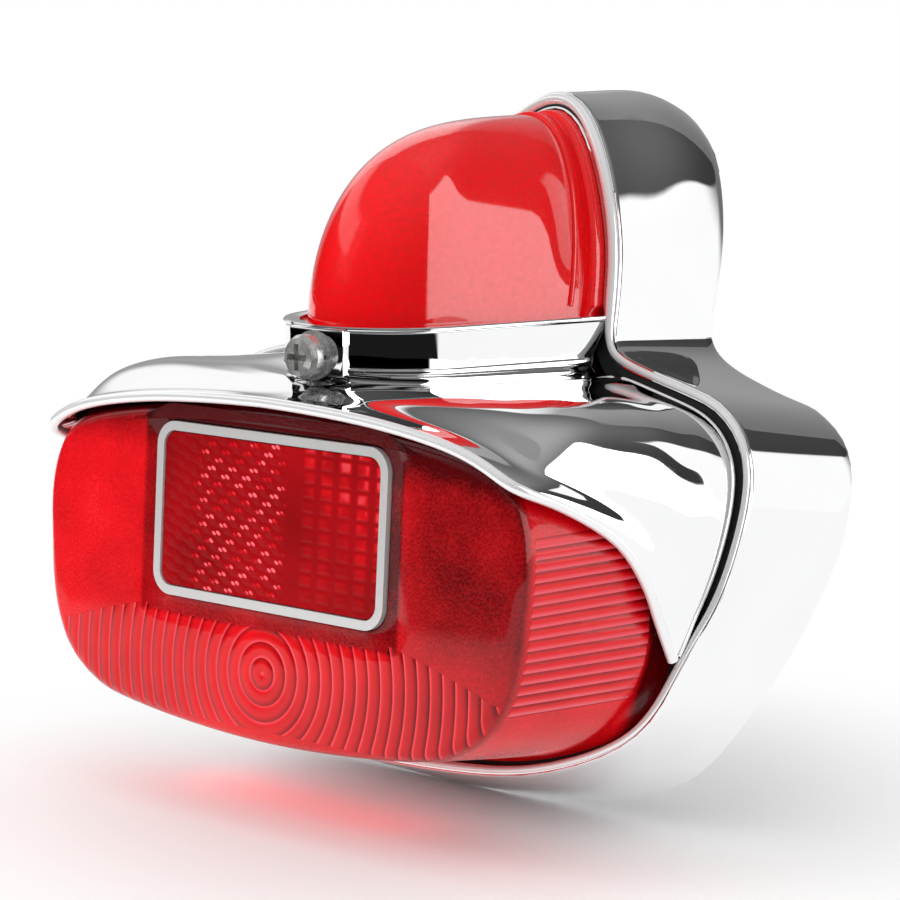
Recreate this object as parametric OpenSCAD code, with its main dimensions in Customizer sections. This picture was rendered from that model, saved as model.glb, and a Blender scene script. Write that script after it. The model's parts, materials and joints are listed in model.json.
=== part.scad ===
// Scooter tail light: a chrome housing with a tower, a red lower lens under a
// chrome visor and a red dome lens, all held by one long screw through the
// visor's collar. x runs to the right seen from the front, y runs back to the
// scooter and z runs up. The origin is the centre of the three mounting holes,
// on the slanted mounting face.

/* [Housing] */
// Width across the lower body
body_w = 142.8; // [136:0.1:150]
// Height of the tower's top above the mounting centre
tower_top = 74.5; // [71:0.1:78]
// Depth of the front rim's lowest point below the mounting centre
rim_drop = 46.5; // [45.5:0.1:49]
// Depth of the rear edge's lowest point below the mounting centre
rear_drop = 57; // [54:0.1:60]
// Lean of the mounting face and of the rim, from the vertical
rear_lean = 25.6; // [24:0.1:27]
// Distance along y from the mounting face forward to the rim
rim_depth = 34.9; // [33:0.1:38]
// Wall thickness of the housing
wall = 1.6; // [1.4:0.1:1.9]
// Extra width of the rim's face round the tower
tower_rim = 1.5; // [1:0.1:1.7]
// Thickness of the housing's rear wall
back_wall = 2; // [1.6:0.1:2.6]

/* [Mounting] */
// Diameter of the circle through the three mounting holes
bolt_circle = 60; // [56:0.5:62]
// Radius of a mounting hole, tapped M5
bolt_hole_r = 2.1; // [1.7:0.05:2.5]
// Depth of a mounting hole
bolt_hole_depth = 10; // [8:0.5:11]
// Radius of a mounting boss
bolt_boss_r = 4.6; // [4:0.1:5]
// Height of a mounting boss above the rear wall
bolt_boss_h = 10; // [9.5:0.5:12]
// Thickness of the base gasket
gasket_t = 1.5; // [1:0.1:2.5]
// Width of the base gasket
gasket_w = 5; // [4:0.1:6]
// Radius of the cable's way through the grommet
cable_r = 3; // [2:0.1:3.5]
// Radius of the grommet's neck in the rear wall
grommet_r = 5; // [4.6:0.1:5.6]

/* [Lower lens] */
// Distance along y from the mounting centre forward to the lens's face
lens_reach = 79.6; // [78:0.1:82]
// Width of the lens's face
lens_w = 119.6; // [116:0.1:121]
// Height of the lens's face above the mounting centre
lens_top = 20.2; // [19.8:0.1:20.6]
// Depth of the lens's face below the mounting centre
lens_drop = 40.2; // [39:0.1:41]
// Lean of the lens's face, from the vertical
lens_lean = 3.8; // [2:0.1:5]
// Thickness of the lens
lens_t = 2; // [1.6:0.1:2.4]
// Pitch of the ribs on the lens's sides
rib_pitch = 1.93; // [1.7:0.01:2.2]
// Height of a rib on the lens's sides
rib_h = 0.6; // [0.3:0.05:0.9]
// Pitch of the rings below the reflector
ring_pitch = 3.2; // [2.8:0.1:3.6]
// Depth of the grooves between the rings
ring_h = 0.4; // [0.2:0.05:0.6]

/* [Reflector] */
// Width of the reflector's frame
reflector_w = 58; // [54:0.5:60]
// Height of the reflector's frame
reflector_h = 32; // [29:0.5:33]
// Corner radius of the reflector's frame
reflector_r = 4.5; // [3.5:0.1:6]
// Width of the frame's rail
frame_rail = 1.7; // [1.3:0.1:2.2]
// Thickness of the frame
frame_t = 1.2; // [1:0.1:1.4]
// Thickness of the reflector
reflector_t = 3; // [2.4:0.1:3.4]
// Thickness of the plate behind the reflector
backing_t = 0.6; // [0.4:0.1:0.8]

/* [Dome lens] */
// Radius of the nose of the dome's base flange
dome_nose_r = 18; // [17.5:0.1:18.3]
// Distance along y from the mounting centre forward to that nose
dome_reach = 64.6; // [64:0.1:65.2]
// Half width of the dome's body where it meets the tower
dome_half_w = 24; // [23.4:0.1:24.3]
// Height of the dome's top above the mounting centre
dome_top = 70.4; // [69.6:0.1:70.6]
// Height of the underside of the dome's base flange
dome_base = 32.2; // [32.1:0.1:32.5]
// Thickness of the dome's base flange
dome_flange_t = 1.4; // [1.2:0.1:1.5]
// Width of the dome's base flange beside its body
dome_flange_w = 1.5; // [1.2:0.1:1.7]
// Wall thickness of the dome
dome_t = 2; // [1.6:0.1:2.3]

/* [Visor] */
// Thickness of the visor's sheet
visor_t = 1.5; // [1.2:0.1:1.6]
// Height of the middle of the visor's front lip
lip_z = 22.6; // [22.3:0.1:23]
// Thickness of the collar round the dome's base
collar_t = 2; // [1.8:0.1:2.2]
// Height of the underside of the collar
collar_foot = 21.4; // [21.2:0.1:21.8]
// Gap between the visor's rear edge and the housing's outline
visor_gap = 3.9; // [3.7:0.1:4.1]

/* [Fasteners] */
// Height of the visor screw's axis
screw_z = 29; // [28.8:0.1:29.1]
// Radius of the visor screw's shank, an M4 screw
screw_r = 2; // [1.8:0.05:2.05]
// Radius of the visor screw's head
screw_head_r = 4; // [3.6:0.1:4.4]
// Height of the visor screw's head
screw_head_h = 3; // [2.4:0.1:3.2]
// Radius of the carrier screws' shanks, M3 screws
carrier_screw_r = 1.5; // [1.3:0.05:1.6]

/* [Bulbs and sockets] */
// Radius of a bulb's cap
cap_r = 7.5; // [7:0.1:7.6]
// Length of a bulb's cap
cap_l = 12; // [11:0.5:13]
// Radius of a bulb's glass
glass_r = 9.25; // [8.5:0.05:9.5]
// Overall length of a bulb
bulb_l = 34; // [32:0.5:35]
// Wall thickness of a bulb socket
socket_t = 0.6; // [0.5:0.05:0.8]
// Depth of a bulb socket
socket_l = 13; // [12:0.5:14]
// Push of a bulb against its spring
bulb_push = 1.5; // [1:0.1:2]
// Height of the brake bulb's axis below the mounting centre
brake_drop = 25; // [23:0.1:26]
// Height of the tail bulb's axis above the mounting centre
tail_z = 49; // [48:0.1:50]
// Thickness of the bulb carrier's sheet
carrier_t = 1.2; // [1:0.1:1.5]
// Width of the bulb carrier
carrier_w = 30; // [26:0.5:32]

/* [Clearances] */
// Clearance of a screw in its tapped hole, on the radius
thread_gap = 0.05; // [0.02:0.01:0.08]
// Clearance of a screw in a plain hole, on the radius
hole_gap = 0.3; // [0.3:0.05:0.45]
// Clearance of the bulbs and contacts in their guides, on the radius
slide_gap = 0.08; // [0.05:0.01:0.1]
// Clearance beside glued and seated pieces
seat_gap = 0.2; // [0.15:0.01:0.25]
// Clearance of the rubber pieces in their seats
rubber_gap = 0.05; // [0.03:0.01:0.08]

/* [Hidden] */

chrome = "silver";
zinc = "slategray";
steel = "gray";
brass = "goldenrod";
rubber = [0.08, 0.08, 0.08];
red_lens = [0.8, 0.02, 0.03, 0.85];
clear_glass = [0.9, 0.93, 0.95, 0.6];
insulation = "peru";

eps = 0.01;
// Bite of a joined form into its neighbour in the same piece
bite = 0.4;
far = 400;
$fn = 48;

// Slanted planes parallel to the mounting face, d along y from its centre
slope = tan(rear_lean);
function slant_y(z, d) = z * slope + d;
gasket_y = gasket_t / cos(rear_lean);
back_y = -gasket_y;
rim_y = -rim_depth;
inner_back_y = back_y - back_wall / cos(rear_lean);

// Seal in the rim: ledge behind it, its working face in front of it
ledge_w = 3.7;
seal_t = 1.8;
seal_face = rim_y + 1.8;
ledge_y = seal_face + seal_t;
ledge_t = 2;

// Splines through key points of a half outline that starts and ends on the
// plane of symmetry; each key point is [x, z]
function flip(p) = [for (k = [0:len(p) - 1]) k == 0 ? -p[0] : p[k]];
function hermite(a, b, c, d, t) = 0.5 * (2 * b + (c - a) * t
  + (2 * a - 5 * b + 4 * c - d) * t * t + (3 * b - a - 3 * c + d) * t * t * t);
function key(p, i) = i < 0 ? flip(p[-i]) : i >= len(p) ? flip(p[2 * len(p) - 2 - i]) : p[i];
function half_spline(p, n) = [for (i = [0:len(p) - 2]) for (k = [0:n - 1])
  hermite(key(p, i - 1), key(p, i), key(p, i + 1), key(p, i + 2), k / n), p[len(p) - 1]];
function whole(half) = concat(half, [for (i = [len(half) - 2:-1:1]) flip(half[i])]);
function unit(v) = v / max(norm(v), 1e-9);
// Inward normal of a closed outline that runs clockwise, at point i
function inward(p, i) = let (n = len(p), d = p[(i + 1) % n] - p[(i + n - 1) % n])
  unit([d[1], -d[0]]);
function inset(p, w) = [for (i = [0:len(p) - 1]) p[i] + inward(p, i) * (is_list(w) ? w[i] : w)];
function mix(a, b, t) = a + (b - a) * t;
function mix_all(a, b, t) = [for (i = [0:len(a) - 1]) mix(a[i], b[i], t)];
function ease(t) = let (u = min(max(t, 0), 1)) u * u * (3 - 2 * u);
function slanted(p, d) = [for (q = p) [q[0], slant_y(q[1], d), q[1]]];

// Closed skins over rings of equal length. A ring runs clockwise seen from the
// front; rings follow the outside forward and the inside back. A cup's two end
// rings start on the plane of symmetry and are closed by rungs across it.
function ring_faces(n, m, wrap) = [for (j = [0:n - 2 + (wrap ? 1 : 0)]) for (i = [0:m - 1])
  each [[j * m + i, j * m + (i + 1) % m, ((j + 1) % n) * m + i],
  [j * m + (i + 1) % m, ((j + 1) % n) * m + (i + 1) % m, ((j + 1) % n) * m + i]]];
function rungs(m) = concat([[0, 1, m - 1]], [for (i = [1:m / 2 - 2])
  each [[i, i + 1, m - i], [i + 1, m - i - 1, m - i]]], [[m / 2 - 1, m / 2, m / 2 + 1]]);
module tube_skin(rings) {
  polyhedron([for (r = rings) each r], ring_faces(len(rings), len(rings[0]), true), 4);
}
module cup_skin(rings) {
  n = len(rings);
  m = len(rings[0]);
  first = [for (f = rungs(m)) [f[2], f[1], f[0]]];
  last = [for (f = rungs(m)) [for (k = f) k + (n - 1) * m]];
  polyhedron([for (r = rings) each r], concat(first, last, ring_faces(n, m, false)), 4);
}

// Half outlines of the housing: the tower's top first, then down the side.
// Each shape point is a share of the half width and of the height or drop.
FRONT_SHAPE = [[0, 1], [0.126, 0.950], [0.253, 0.809], [0.354, 0.642], [0.404, 0.502],
  [0.429, 0.419], [0.484, 0.368], [0.683, 0.323], [0.824, 0.286], [0.930, 0.211],
  [0.987, 0.103], [1, -0.065], [0.986, -0.262], [0.941, -0.447], [0.891, -0.675],
  [0.775, -0.826], [0.549, -0.946], [0.280, -0.989], [0, -1]];
REAR_SHAPE = [[0, 0.957], [0.112, 0.925], [0.238, 0.832], [0.325, 0.685], [0.371, 0.550],
  [0.395, 0.423], [0.455, 0.326], [0.699, 0.250], [0.805, 0.226], [0.913, 0.164],
  [0.973, 0.078], [0.997, -0.070], [0.986, -0.219], [0.940, -0.437], [0.875, -0.618],
  [0.763, -0.830], [0.560, -0.944], [0.280, -0.986], [0, -1]];
TIP_KEY = 13;
FOOT_KEY = 6;
STEPS = 3;
function sized(shape, drop) = [for (s = shape)
  [s[0] * body_w / 2, s[1] > 0 ? s[1] * tower_top : s[1] * drop]];
rim_outline = whole(half_spline(sized(FRONT_SHAPE, rim_drop), STEPS));
rear_outline = whole(half_spline(sized(REAR_SHAPE, rear_drop), STEPS));
foot_z = FRONT_SHAPE[5][1] * tower_top;
function tower_share(z) = ease((z - foot_z + 4) / 12);
rim_wall = [for (p = rim_outline) wall + tower_rim * tower_share(p[1])];
function housing_at(t) = mix_all(rim_outline, rear_outline, t);
function housing_y(t) = mix(rim_y, back_y, t);

// Slanted half space in front of the plane at d
module in_front(d) {
  translate([0, d, 0]) rotate([-rear_lean, 0, 0])
    translate([-far / 2, -far, -far / 2]) cube(far);
}
// Cylinder along the mounting face's normal, from h forward of it, d long
module square_to_face(x, up, h, d, r) {
  rotate([-rear_lean, 0, 0]) translate([x, -h - d, up]) rotate([-90, 0, 0]) cylinder(h = d, r = r);
}
module along_y(x, y, z, l, r) {
  translate([x, y, z]) rotate([-90, 0, 0]) cylinder(h = l, r = r);
}
BOLT_ANGLES = [-90, 30, 150];
function bolt_at(a) = [bolt_circle / 2 * cos(a), bolt_circle / 2 * sin(a)];

// Carrier: three straight stretches of one bent strip, seen from the side
brake_plate_y = -38;
tail_plate_y = 0;
carrier_low = -40;
carrier_high = 65;
web_low = -4;
web_high = 36;
web_lean = atan2(tail_plate_y - brake_plate_y, web_high - web_low);
tower_panel_w = 22;
tower_tab_w = 8;
post_r = 3.4;
post_hole_depth = 8;
carrier_head_r = 2.75;
carrier_head_h = 2;
POSTS = [[-11, carrier_low + 5], [11, carrier_low + 5], [0, carrier_high - 3.2]];
function plate_y(z) = z < 0 ? brake_plate_y : tail_plate_y;

// Visor screw, from the front of the collar's flat back into its boss
flat_y = -dome_reach - collar_t - 0.8;
lock_t = 1;
lock_r = 3.8;
washer_t = 0.8;
washer_r = 4.5;
washer_hole_r = screw_r + hole_gap;
head_y = flat_y - washer_t - lock_t;
screw_end_y = 8;
screw_boss_r = 4.2;
screw_boss_y = 0;

module housing_shell() {
  b = [0, 0.3, 0.65, 1];
  outer = [for (t = b) slanted(housing_at(t), housing_y(t))];
  ledge_in = [for (w = rim_wall) w + ledge_w];
  cup_skin(concat(
    [for (i = [len(b) - 1:-1:0]) outer[i]],
    [slanted(inset(rim_outline, rim_wall), rim_y),
    slanted(inner_at(ledge_y, rim_wall), ledge_y),
    slanted(inner_at(ledge_y, ledge_in), ledge_y),
    slanted(inner_at(ledge_y + ledge_t, ledge_in), ledge_y + ledge_t),
    slanted(inner_at(ledge_y + ledge_t, rim_wall), ledge_y + ledge_t),
    slanted(inner_at(inner_back_y, rim_wall), inner_back_y)]));
}
function inner_at(d, w) = inset(housing_at((d - rim_y) / (back_y - rim_y)), w);
module housing() color(chrome) difference() {
  union() {
    housing_shell();
    for (a = BOLT_ANGLES) square_to_face(bolt_at(a)[0], bolt_at(a)[1], 0,
      gasket_t + back_wall + bolt_boss_h, bolt_boss_r);
    intersection() {
      union() {
        for (p = POSTS) along_y(p[0], plate_y(p[1]) + carrier_t, p[1],
          slant_y(p[1], inner_back_y) + 2 * post_r - plate_y(p[1]) - carrier_t, post_r);
        along_y(0, screw_boss_y, screw_z,
          slant_y(screw_z, inner_back_y) + 2 * post_r - screw_boss_y, screw_boss_r);
      }
      in_front(inner_back_y + bite);
    }
  }
  for (a = BOLT_ANGLES)
    square_to_face(bolt_at(a)[0], bolt_at(a)[1], -eps, bolt_hole_depth + eps, bolt_hole_r);
  for (p = POSTS) along_y(p[0], plate_y(p[1]) + carrier_t - eps, p[1],
    post_hole_depth, carrier_screw_r + thread_gap);
  along_y(0, screw_boss_y - eps, screw_z, screw_end_y - screw_boss_y + 1, screw_r + thread_gap);
  square_to_face(0, 0, gasket_t - 1, back_wall + 2, grommet_r);
}

// Seals and grommet
module base_gasket() color(rubber) {
  outer = inset(rear_outline, gasket_inset);
  inner = inset(rear_outline, gasket_inset + gasket_w);
  tube_skin([slanted(outer, 0), slanted(outer, back_y), slanted(inner, back_y),
    slanted(inner, 0)]);
}
gasket_inset = 3;
grommet_flange_r = grommet_r + 2;
grommet_flange_t = 1.2;
module cable_grommet() color(rubber) difference() {
  union() {
    square_to_face(0, 0, gasket_t - grommet_flange_t, grommet_flange_t, grommet_flange_r);
    square_to_face(0, 0, gasket_t - bite, back_wall + 2 * bite, grommet_r - rubber_gap);
    square_to_face(0, 0, gasket_t + back_wall, grommet_flange_t, grommet_flange_r);
  }
  square_to_face(0, 0, 0, gasket_t + back_wall + 2 * grommet_flange_t, cable_r);
}
// Share of the seal's lip at point i: it stands up beside the visor's rear edge
function lip_share(i) = let (n = len(rim_outline), j = i <= n / 2 ? i : n - i)
  ease((j - FOOT_KEY * STEPS + 2) / 3) * ease((TIP_KEY * STEPS - 1 - j) / 3);
module rim_seal() color(rubber) {
  last = len(rim_outline) - 1;
  edge = [for (w = rim_wall) w + rubber_gap];
  lip = [for (i = [0:last]) edge[i] + 0.2 + 1.5 * lip_share(i)];
  top = [for (i = [0:last]) seal_face - 1.5 * lip_share(i)];
  inner = [for (w = rim_wall) w + ledge_w - 0.3];
  rise = inner_at(seal_face, edge);
  fall = inner_at(seal_face, lip);
  tube_skin([slanted(inner_at(ledge_y, edge), ledge_y),
    [for (i = [0:last]) [rise[i][0], slant_y(rise[i][1], top[i]), rise[i][1]]],
    [for (i = [0:last]) [fall[i][0], slant_y(fall[i][1], top[i]), fall[i][1]]],
    slanted(inner_at(seal_face, [for (w = lip) w + 0.1]), seal_face),
    slanted(inner_at(seal_face, inner), seal_face),
    slanted(inner_at(ledge_y, inner), ledge_y)]);
}

// Lower lens: a cup open to the back, with a raised shoulder and a skirt
LENS_SHAPE = [[0, 1], [0.418, 0.941], [0.736, 0.817], [0.903, 0.644], [0.977, 0.322],
  [1, -0.025], [0.993, -0.224], [0.977, -0.448], [0.936, -0.634], [0.866, -0.776],
  [0.753, -0.881], [0.619, -0.933], [0.334, -0.98], [0, -1]];
// Half outline of the lens at shares of the face's width, height and drop; under
// the visor it stays a little narrower
function lens_keys(wide, covered, up, down) = [for (s = LENS_SHAPE)
  [s[0] * lens_w / 2 * (abs(s[1]) < 0.33 ? covered : wide),
  s[1] > 0 ? s[1] * lens_top * up : s[1] * lens_drop * down]];
face_outline = whole(half_spline(lens_keys(1, 1, 1, 1), STEPS));
// The lens's shoulder stands out from its face, towards the body's side below and
// towards the visor's inside under the visor
shoulder_w = mix(lens_w, body_w, 0.464);
covered_w = mix(lens_w, body_w - 2 * (visor_gap + visor_t), 0.6);
shoulder_outline = whole(half_spline(lens_keys(shoulder_w / lens_w, covered_w / lens_w, 0.866, 1.075),
  STEPS));
function rim_key(k, w) = rim_outline[k * STEPS] + inward(rim_outline, k * STEPS) * w;
skirt_outline = whole(half_spline(concat([[0, 16.5], [25, 16.3], [44, 15.3], [54.5, 13.6]],
  [for (k = [9:12]) rim_key(k, 6.5)], [rim_key(13, 4.3)], [for (k = [14:18]) rim_key(k, 2.1)]),
  STEPS));
function face_y(z) = z * tan(lens_lean) - lens_reach;
shoulder_back = 47;
function shoulder_y(z) = 0.21 * z - shoulder_back;
function on_plane(p, flat, d) = [for (q = p)
  [q[0], (flat ? face_y(q[1]) : shoulder_y(q[1])) + d, q[1]]];
module on_face() {
  translate([0, -lens_reach, 0]) rotate([-lens_lean, 0, 0]) children();
}
// Plate with round corners, from y back by t
module plate(w, h, r, y, t) {
  translate([-w / 2, y, r - h / 2]) cube([w, t, h - 2 * r]);
  translate([r - w / 2, y, -h / 2]) cube([w - 2 * r, t, h]);
  for (i = [-1, 1])
    for (j = [-1, 1])
      along_y(i * (w / 2 - r), y, j * (h / 2 - r), t, r);
}
frame_proud = 0.4;
pocket_depth = frame_t - frame_proud + reflector_t + backing_t;
tub_wall = 1.3;
// Groove between two ribs, along the lens's side from its face back
ribs_top = 4;
ribs_low = -27;
ribs_back = -54.6;
function side_x(p, z) = lookup(z, [for (q = p) if (q[0] > lens_w / 4) [q[1], q[0]]]);
module side_groove(z) {
  front = [side_x(face_outline, z), face_y(z) + 1.6];
  rear = [side_x(shoulder_outline, z), shoulder_y(z)];
  run = (ribs_back - front[1]) / (rear[1] - front[1]);
  w = 0.4 * rib_pitch * (1 + 1 / rib_h);
  translate([front[0], front[1], z]) rotate([0, 0, -atan2(rear[0] - front[0], rear[1] - front[1])])
    translate([0, 0.3, 0]) rotate([-90, 0, 0]) linear_extrude(run * norm(rear - front) - 0.3)
      polygon([[-rib_h, 0], [1, w], [1, -w]]);
}
// Grooves between the rings of the bull's-eye, kept to the band below the reflector
eye_z = -0.68 * lens_drop;
band_top = 2.5 - reflector_h / 2;
band_under = -reflector_h / 2 - seat_gap - tub_wall - 0.8;
module ring_grooves(lift = 0.3 * ring_h, w = 0.46) intersection() {
  translate([0, 0, eye_z]) rotate([-90, 0, 0]) for (k = [0:18]) rotate_extrude()
    polygon([for (p = k == 0 ? [[0, -lift], [w, -lift], [0.1, ring_h], [0, ring_h]]
      : [[k, ring_h], [k - w, -lift], [k + w, -lift]]) [p[0] * ring_pitch, p[1]]]);
  rotate([90, 0, 0]) translate([0, 0, -1]) linear_extrude(3) polygon(whole([[0, band_under],
    [0.52 * reflector_w, band_under], [0.56 * reflector_w, band_top], [0.94 * lens_w / 2, band_top],
    [0.93 * lens_w / 2, -0.56 * lens_drop], [0.82 * lens_w / 2, -0.77 * lens_drop],
    [0.62 * lens_w / 2, -0.88 * lens_drop], [0, -0.93 * lens_drop]]));
}
module lower_lens() color(red_lens) difference() {
  union() {
    cup_skin([on_plane(inset(face_outline, lens_t + 0.4), true, lens_t),
      on_plane(inset(shoulder_outline, lens_t + 1), false, 0),
      slanted(inset(skirt_outline, lens_t), seal_face),
      slanted(skirt_outline, seal_face),
      on_plane(inset(shoulder_outline, 1), false, 0.4),
      on_plane(shoulder_outline, false, 0),
      on_plane(face_outline, true, 1.6),
      on_plane(inset(face_outline, 2), true, 0)]);
    on_face() plate(reflector_w + 2 * (seat_gap + tub_wall), reflector_h + 2 * (seat_gap + tub_wall),
      reflector_r + seat_gap + tub_wall, lens_t - bite, pocket_depth + tub_wall - lens_t + bite);
  }
  on_face() plate(reflector_w + 2 * seat_gap, reflector_h + 2 * seat_gap,
    reflector_r + seat_gap, -1, 1 + pocket_depth);
  on_face() ring_grooves();
  for (z = [ribs_top:-rib_pitch:ribs_low], i = [0, 1]) mirror([i, 0, 0]) side_groove(z);
}

// Reflector and its frame, seated in the lens's pocket
window_w = reflector_w - 2 * frame_rail;
window_h = reflector_h - 2 * frame_rail;
window_r = reflector_r - frame_rail;
module reflector_frame() color(chrome) on_face() difference() {
  plate(reflector_w, reflector_h, reflector_r, -frame_proud, frame_t);
  plate(window_w, window_h, window_r, -1, 1 + frame_t);
}
module reflector() color(red_lens) on_face() {
  plate(reflector_w, reflector_h, reflector_r, frame_t - frame_proud, reflector_t);
  plate(window_w - 2 * seat_gap, window_h - 2 * seat_gap, window_r - seat_gap, 0,
    frame_t - frame_proud + bite);
}
module reflector_backing() color(zinc) on_face()
  plate(reflector_w, reflector_h, reflector_r, pocket_depth - backing_t, backing_t);

// Round nose with straight flanks that spread to half width w at flank_y
nose_y = dome_nose_r - dome_reach;
flank_z = dome_base + dome_flange_t;
flank_y = slant_y(flank_z, rim_y);
function touch(c, r, w, e) = let (a = atan2(e - c, w) - acos(r / norm([w, e - c])))
  [r * cos(a), c + r * sin(a), a];
module nose(r, w, z, h) {
  t = touch(nose_y, r, w, flank_y);
  e = [t[0], t[1]] + ([w, flank_y] - [t[0], t[1]]) * 1.6;
  f = [0, nose_y] + ([t[0], t[1]] - [0, nose_y]) * (1 - eps / r);
  translate([0, nose_y, z]) cylinder(h = h, r = r);
  translate([0, 0, z]) linear_extrude(h) polygon([f, e, [-e[0], e[1]], [-f[0], f[1]]]);
}

// Dome: half width at height z and depth y, inside the surface by o
dome_foot = dome_base + dome_flange_t;
dome_rear_y = slant_y(dome_top, rim_y) - 0.9;
dome_nose_y = -dome_reach + 2.3;
dome_r = dome_nose_r - dome_flange_w;
function share_up(z, o) = min(max((z - dome_foot) / (dome_top - o - dome_foot), 0), 1);
function dome_q(z, o) = 1 - pow(share_up(z, o), 1.3);
function dome_tip(z, o) = dome_rear_y - (dome_rear_y - dome_nose_y - o) * pow(dome_q(z, o), 0.24);
function dome_x(z, y, o) = let (f = max(pow(dome_q(z, o), 0.69), 0.001), r = (dome_r - o) * f,
  w = (dome_half_w - o) * f, tip = dome_tip(z, o), c = tip + r, e = slant_y(z, rim_y),
  t = touch(c, r, w, e))
  y <= tip ? 0 : y > t[1] ? t[0] + (w - t[0]) * (y - t[1]) / max(e - t[1], 0.001)
  : sqrt(max(r * r - (y - c) * (y - c), 0));
function section_y(z, s, o) = mix(slant_y(z, rim_y), dome_nose_y + o, s);
function crest(s, o, low, high, n) = n == 0 ? (low + high) / 2 : let (z = (low + high) / 2)
  section_y(z, s, o) > dome_tip(z, o) ? crest(s, o, z, high, n - 1) : crest(s, o, low, z, n - 1);
ARCH = 12;
function arch(s, o) = let (top = crest(s, o, dome_foot, dome_top - o, 22),
  half = [for (k = [0:ARCH - 1]) let (z = dome_foot + (top - dome_foot) * sin(90 * k / ARCH))
    [dome_x(z, section_y(z, s, o), o), section_y(z, s, o), z]])
  concat(half, [[0, section_y(top, s, o), top]], [for (k = [ARCH - 1:-1:0]) flip(half[k])]);
// Sheet between two grids of equal size, closed along its edges; with capped set,
// its last row is closed as an arch
function quad(a, b, c, d) = [[a, b, c], [a, c, d]];
function rows(n, m, o, back) = [for (j = [0:n - 2]) for (i = [0:m - 2]) let (a = o + j * m + i)
  each (back ? quad(a, a + m, a + m + 1, a + 1) : quad(a, a + 1, a + m + 1, a + m))];
function arch_cap(m, o, back) = [for (i = [0:(m - 3) / 2])
  each (let (a = o + i, b = o + m - 1 - i) i == (m - 3) / 2
  ? [back ? [b, a + 1, a] : [a, a + 1, b]] : back ? quad(b, b - 1, a + 1, a) : quad(a, a + 1, b - 1, b))];
module sheet_skin(outer, inner, capped) {
  n = len(outer);
  m = len(outer[0]);
  s = n * m;
  e = s - m;
  faces = concat(
    rows(n, m, 0, false), rows(n, m, s, true),
    [for (i = [0:m - 2]) each quad(i, s + i, s + i + 1, i + 1)],
    [for (j = [0:n - 2]) each quad(j * m, j * m + m, s + j * m + m, s + j * m)],
    [for (j = [1:n - 1]) let (a = j * m - 1) each quad(a, s + a, s + a + m, a + m)],
    capped ? concat(arch_cap(m, e, false), arch_cap(m, s + e, true),
      quad(e, e + m - 1, s + e + m - 1, s + e))
    : [for (i = [0:m - 2]) each quad(e + i, e + i + 1, s + e + i + 1, s + e + i)]);
  polyhedron(concat([for (r = outer) each r], [for (r = inner) each r]),
    [for (f = faces) [f[2], f[1], f[0]]], 4);
}
dome_sections = [for (k = [0:10]) 0.98 * sin(9 * k)];
flange_half_w = dome_half_w + 2;
flange_wall = wall + tower_rim + seat_gap + rubber_gap;
flange_front = 2.5;
foot_half_w = flange_half_w - 0.8;
// Outline of the flange in the tower: the tower's own arch above its two feet
arch_points = [for (i = [0:(FOOT_KEY - 1) * STEPS]) let (p = inset(rim_outline, flange_wall)[i])
  if (p[1] > dome_foot + 1) [min(p[0], foot_half_w + (p[1] > dome_foot + 1.6 ? 9 : 0)), p[1]]];
flange_outline = whole(concat(arch_points, [[foot_half_w, dome_foot + 0.9],
  [foot_half_w, dome_base], [0, dome_base - eps]]));
opening_outline = whole(concat([for (k = [ARCH:-1:0]) let (p = arch(0, dome_t)[k]) [p[0], p[2]]],
  [[0, dome_foot - eps]]));
module slab(p, front, back) cup_skin([slanted(p, back), slanted(p, front)]);
module dome_lens() color(red_lens) {
  sheet_skin([for (s = dome_sections) arch(s, 0)], [for (s = dome_sections) arch(s, dome_t)], true);
  difference() {
    slab(flange_outline, rim_y - flange_front, seal_face);
    slab(opening_outline, rim_y - flange_front - 1, seal_face + 1);
  }
  difference() {
    nose(dome_nose_r, flange_half_w, dome_base, dome_flange_t);
    nose(dome_r - dome_t, dome_half_w - dome_t, dome_base - 1, dome_flange_t + 2);
    translate([0, rim_y - flange_front + bite, 0]) rotate([-rear_lean, 0, 0])
      translate([-far / 2, 0, -far / 2]) cube(far);
  }
}

// Visor: a pressed sheet from the front lip up to the collar, and the collar
lip_y = -lens_reach - 1.2;
// Points of the lip: out from the lens's side, back from the lip's front and up
// from its middle
LIP = [[-42.8, 0, -0.5], [-28.8, 0, -1.6], [-15.8, 0, -3.6], [-7.8, 0, -6], [-2.4, 0.6, -9],
  [0.19, 3.7, -11.2], [0.8, 9.7, -14], [1.26, 17.8, -18.6],
  [1.57, 23.2, -23.2], [1.76, 27.5, -29.8], [1.78, 29.8, -35.4]];
function lens_side(d) = mix(lens_w, shoulder_w, d / (lens_reach - shoulder_back)) / 2;
LIP_STEPS = 2;
edge_ids = [for (i = [39, 38, 37, 36, 34, 32, 30, 28, 26, 24, 22, 20, 18]) i];
function edge_at(i) = let (s = ease((TIP_KEY * STEPS - i) / 3),
  p = rim_outline[i] + inward(rim_outline, i) * mix(0.5, visor_gap, s))
  [p[0], slant_y(p[1], rim_y + mix(-2.3, 0.5, s)), p[1]];
collar_mid = collar_t / 2;
sheet_rise = 1.9;
collar_end_z = lip_z - 0.4;
collar_flank = touch(nose_y, dome_nose_r + collar_mid, flange_half_w + collar_mid, flank_y);
function flank_at(y) = let (t = collar_flank) [t[0] + (flange_half_w + collar_mid - t[0])
  * (y - t[1]) / (flank_y - t[1]), y];
visor_tip = edge_at(TIP_KEY * STEPS);
lip_edge = open_spline(concat([[0, lip_y, lip_z]],
  [for (p = LIP) [lens_side(p[1]) + p[0], lip_y + p[1], lip_z + p[2]]], [visor_tip]), LIP_STEPS);
COLUMNS = len(lip_edge) - 1;
ROWS = len(edge_ids);
function open_key(p, i) = i < 0 ? flip(p[-i]) : p[min(i, len(p) - 1)];
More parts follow.
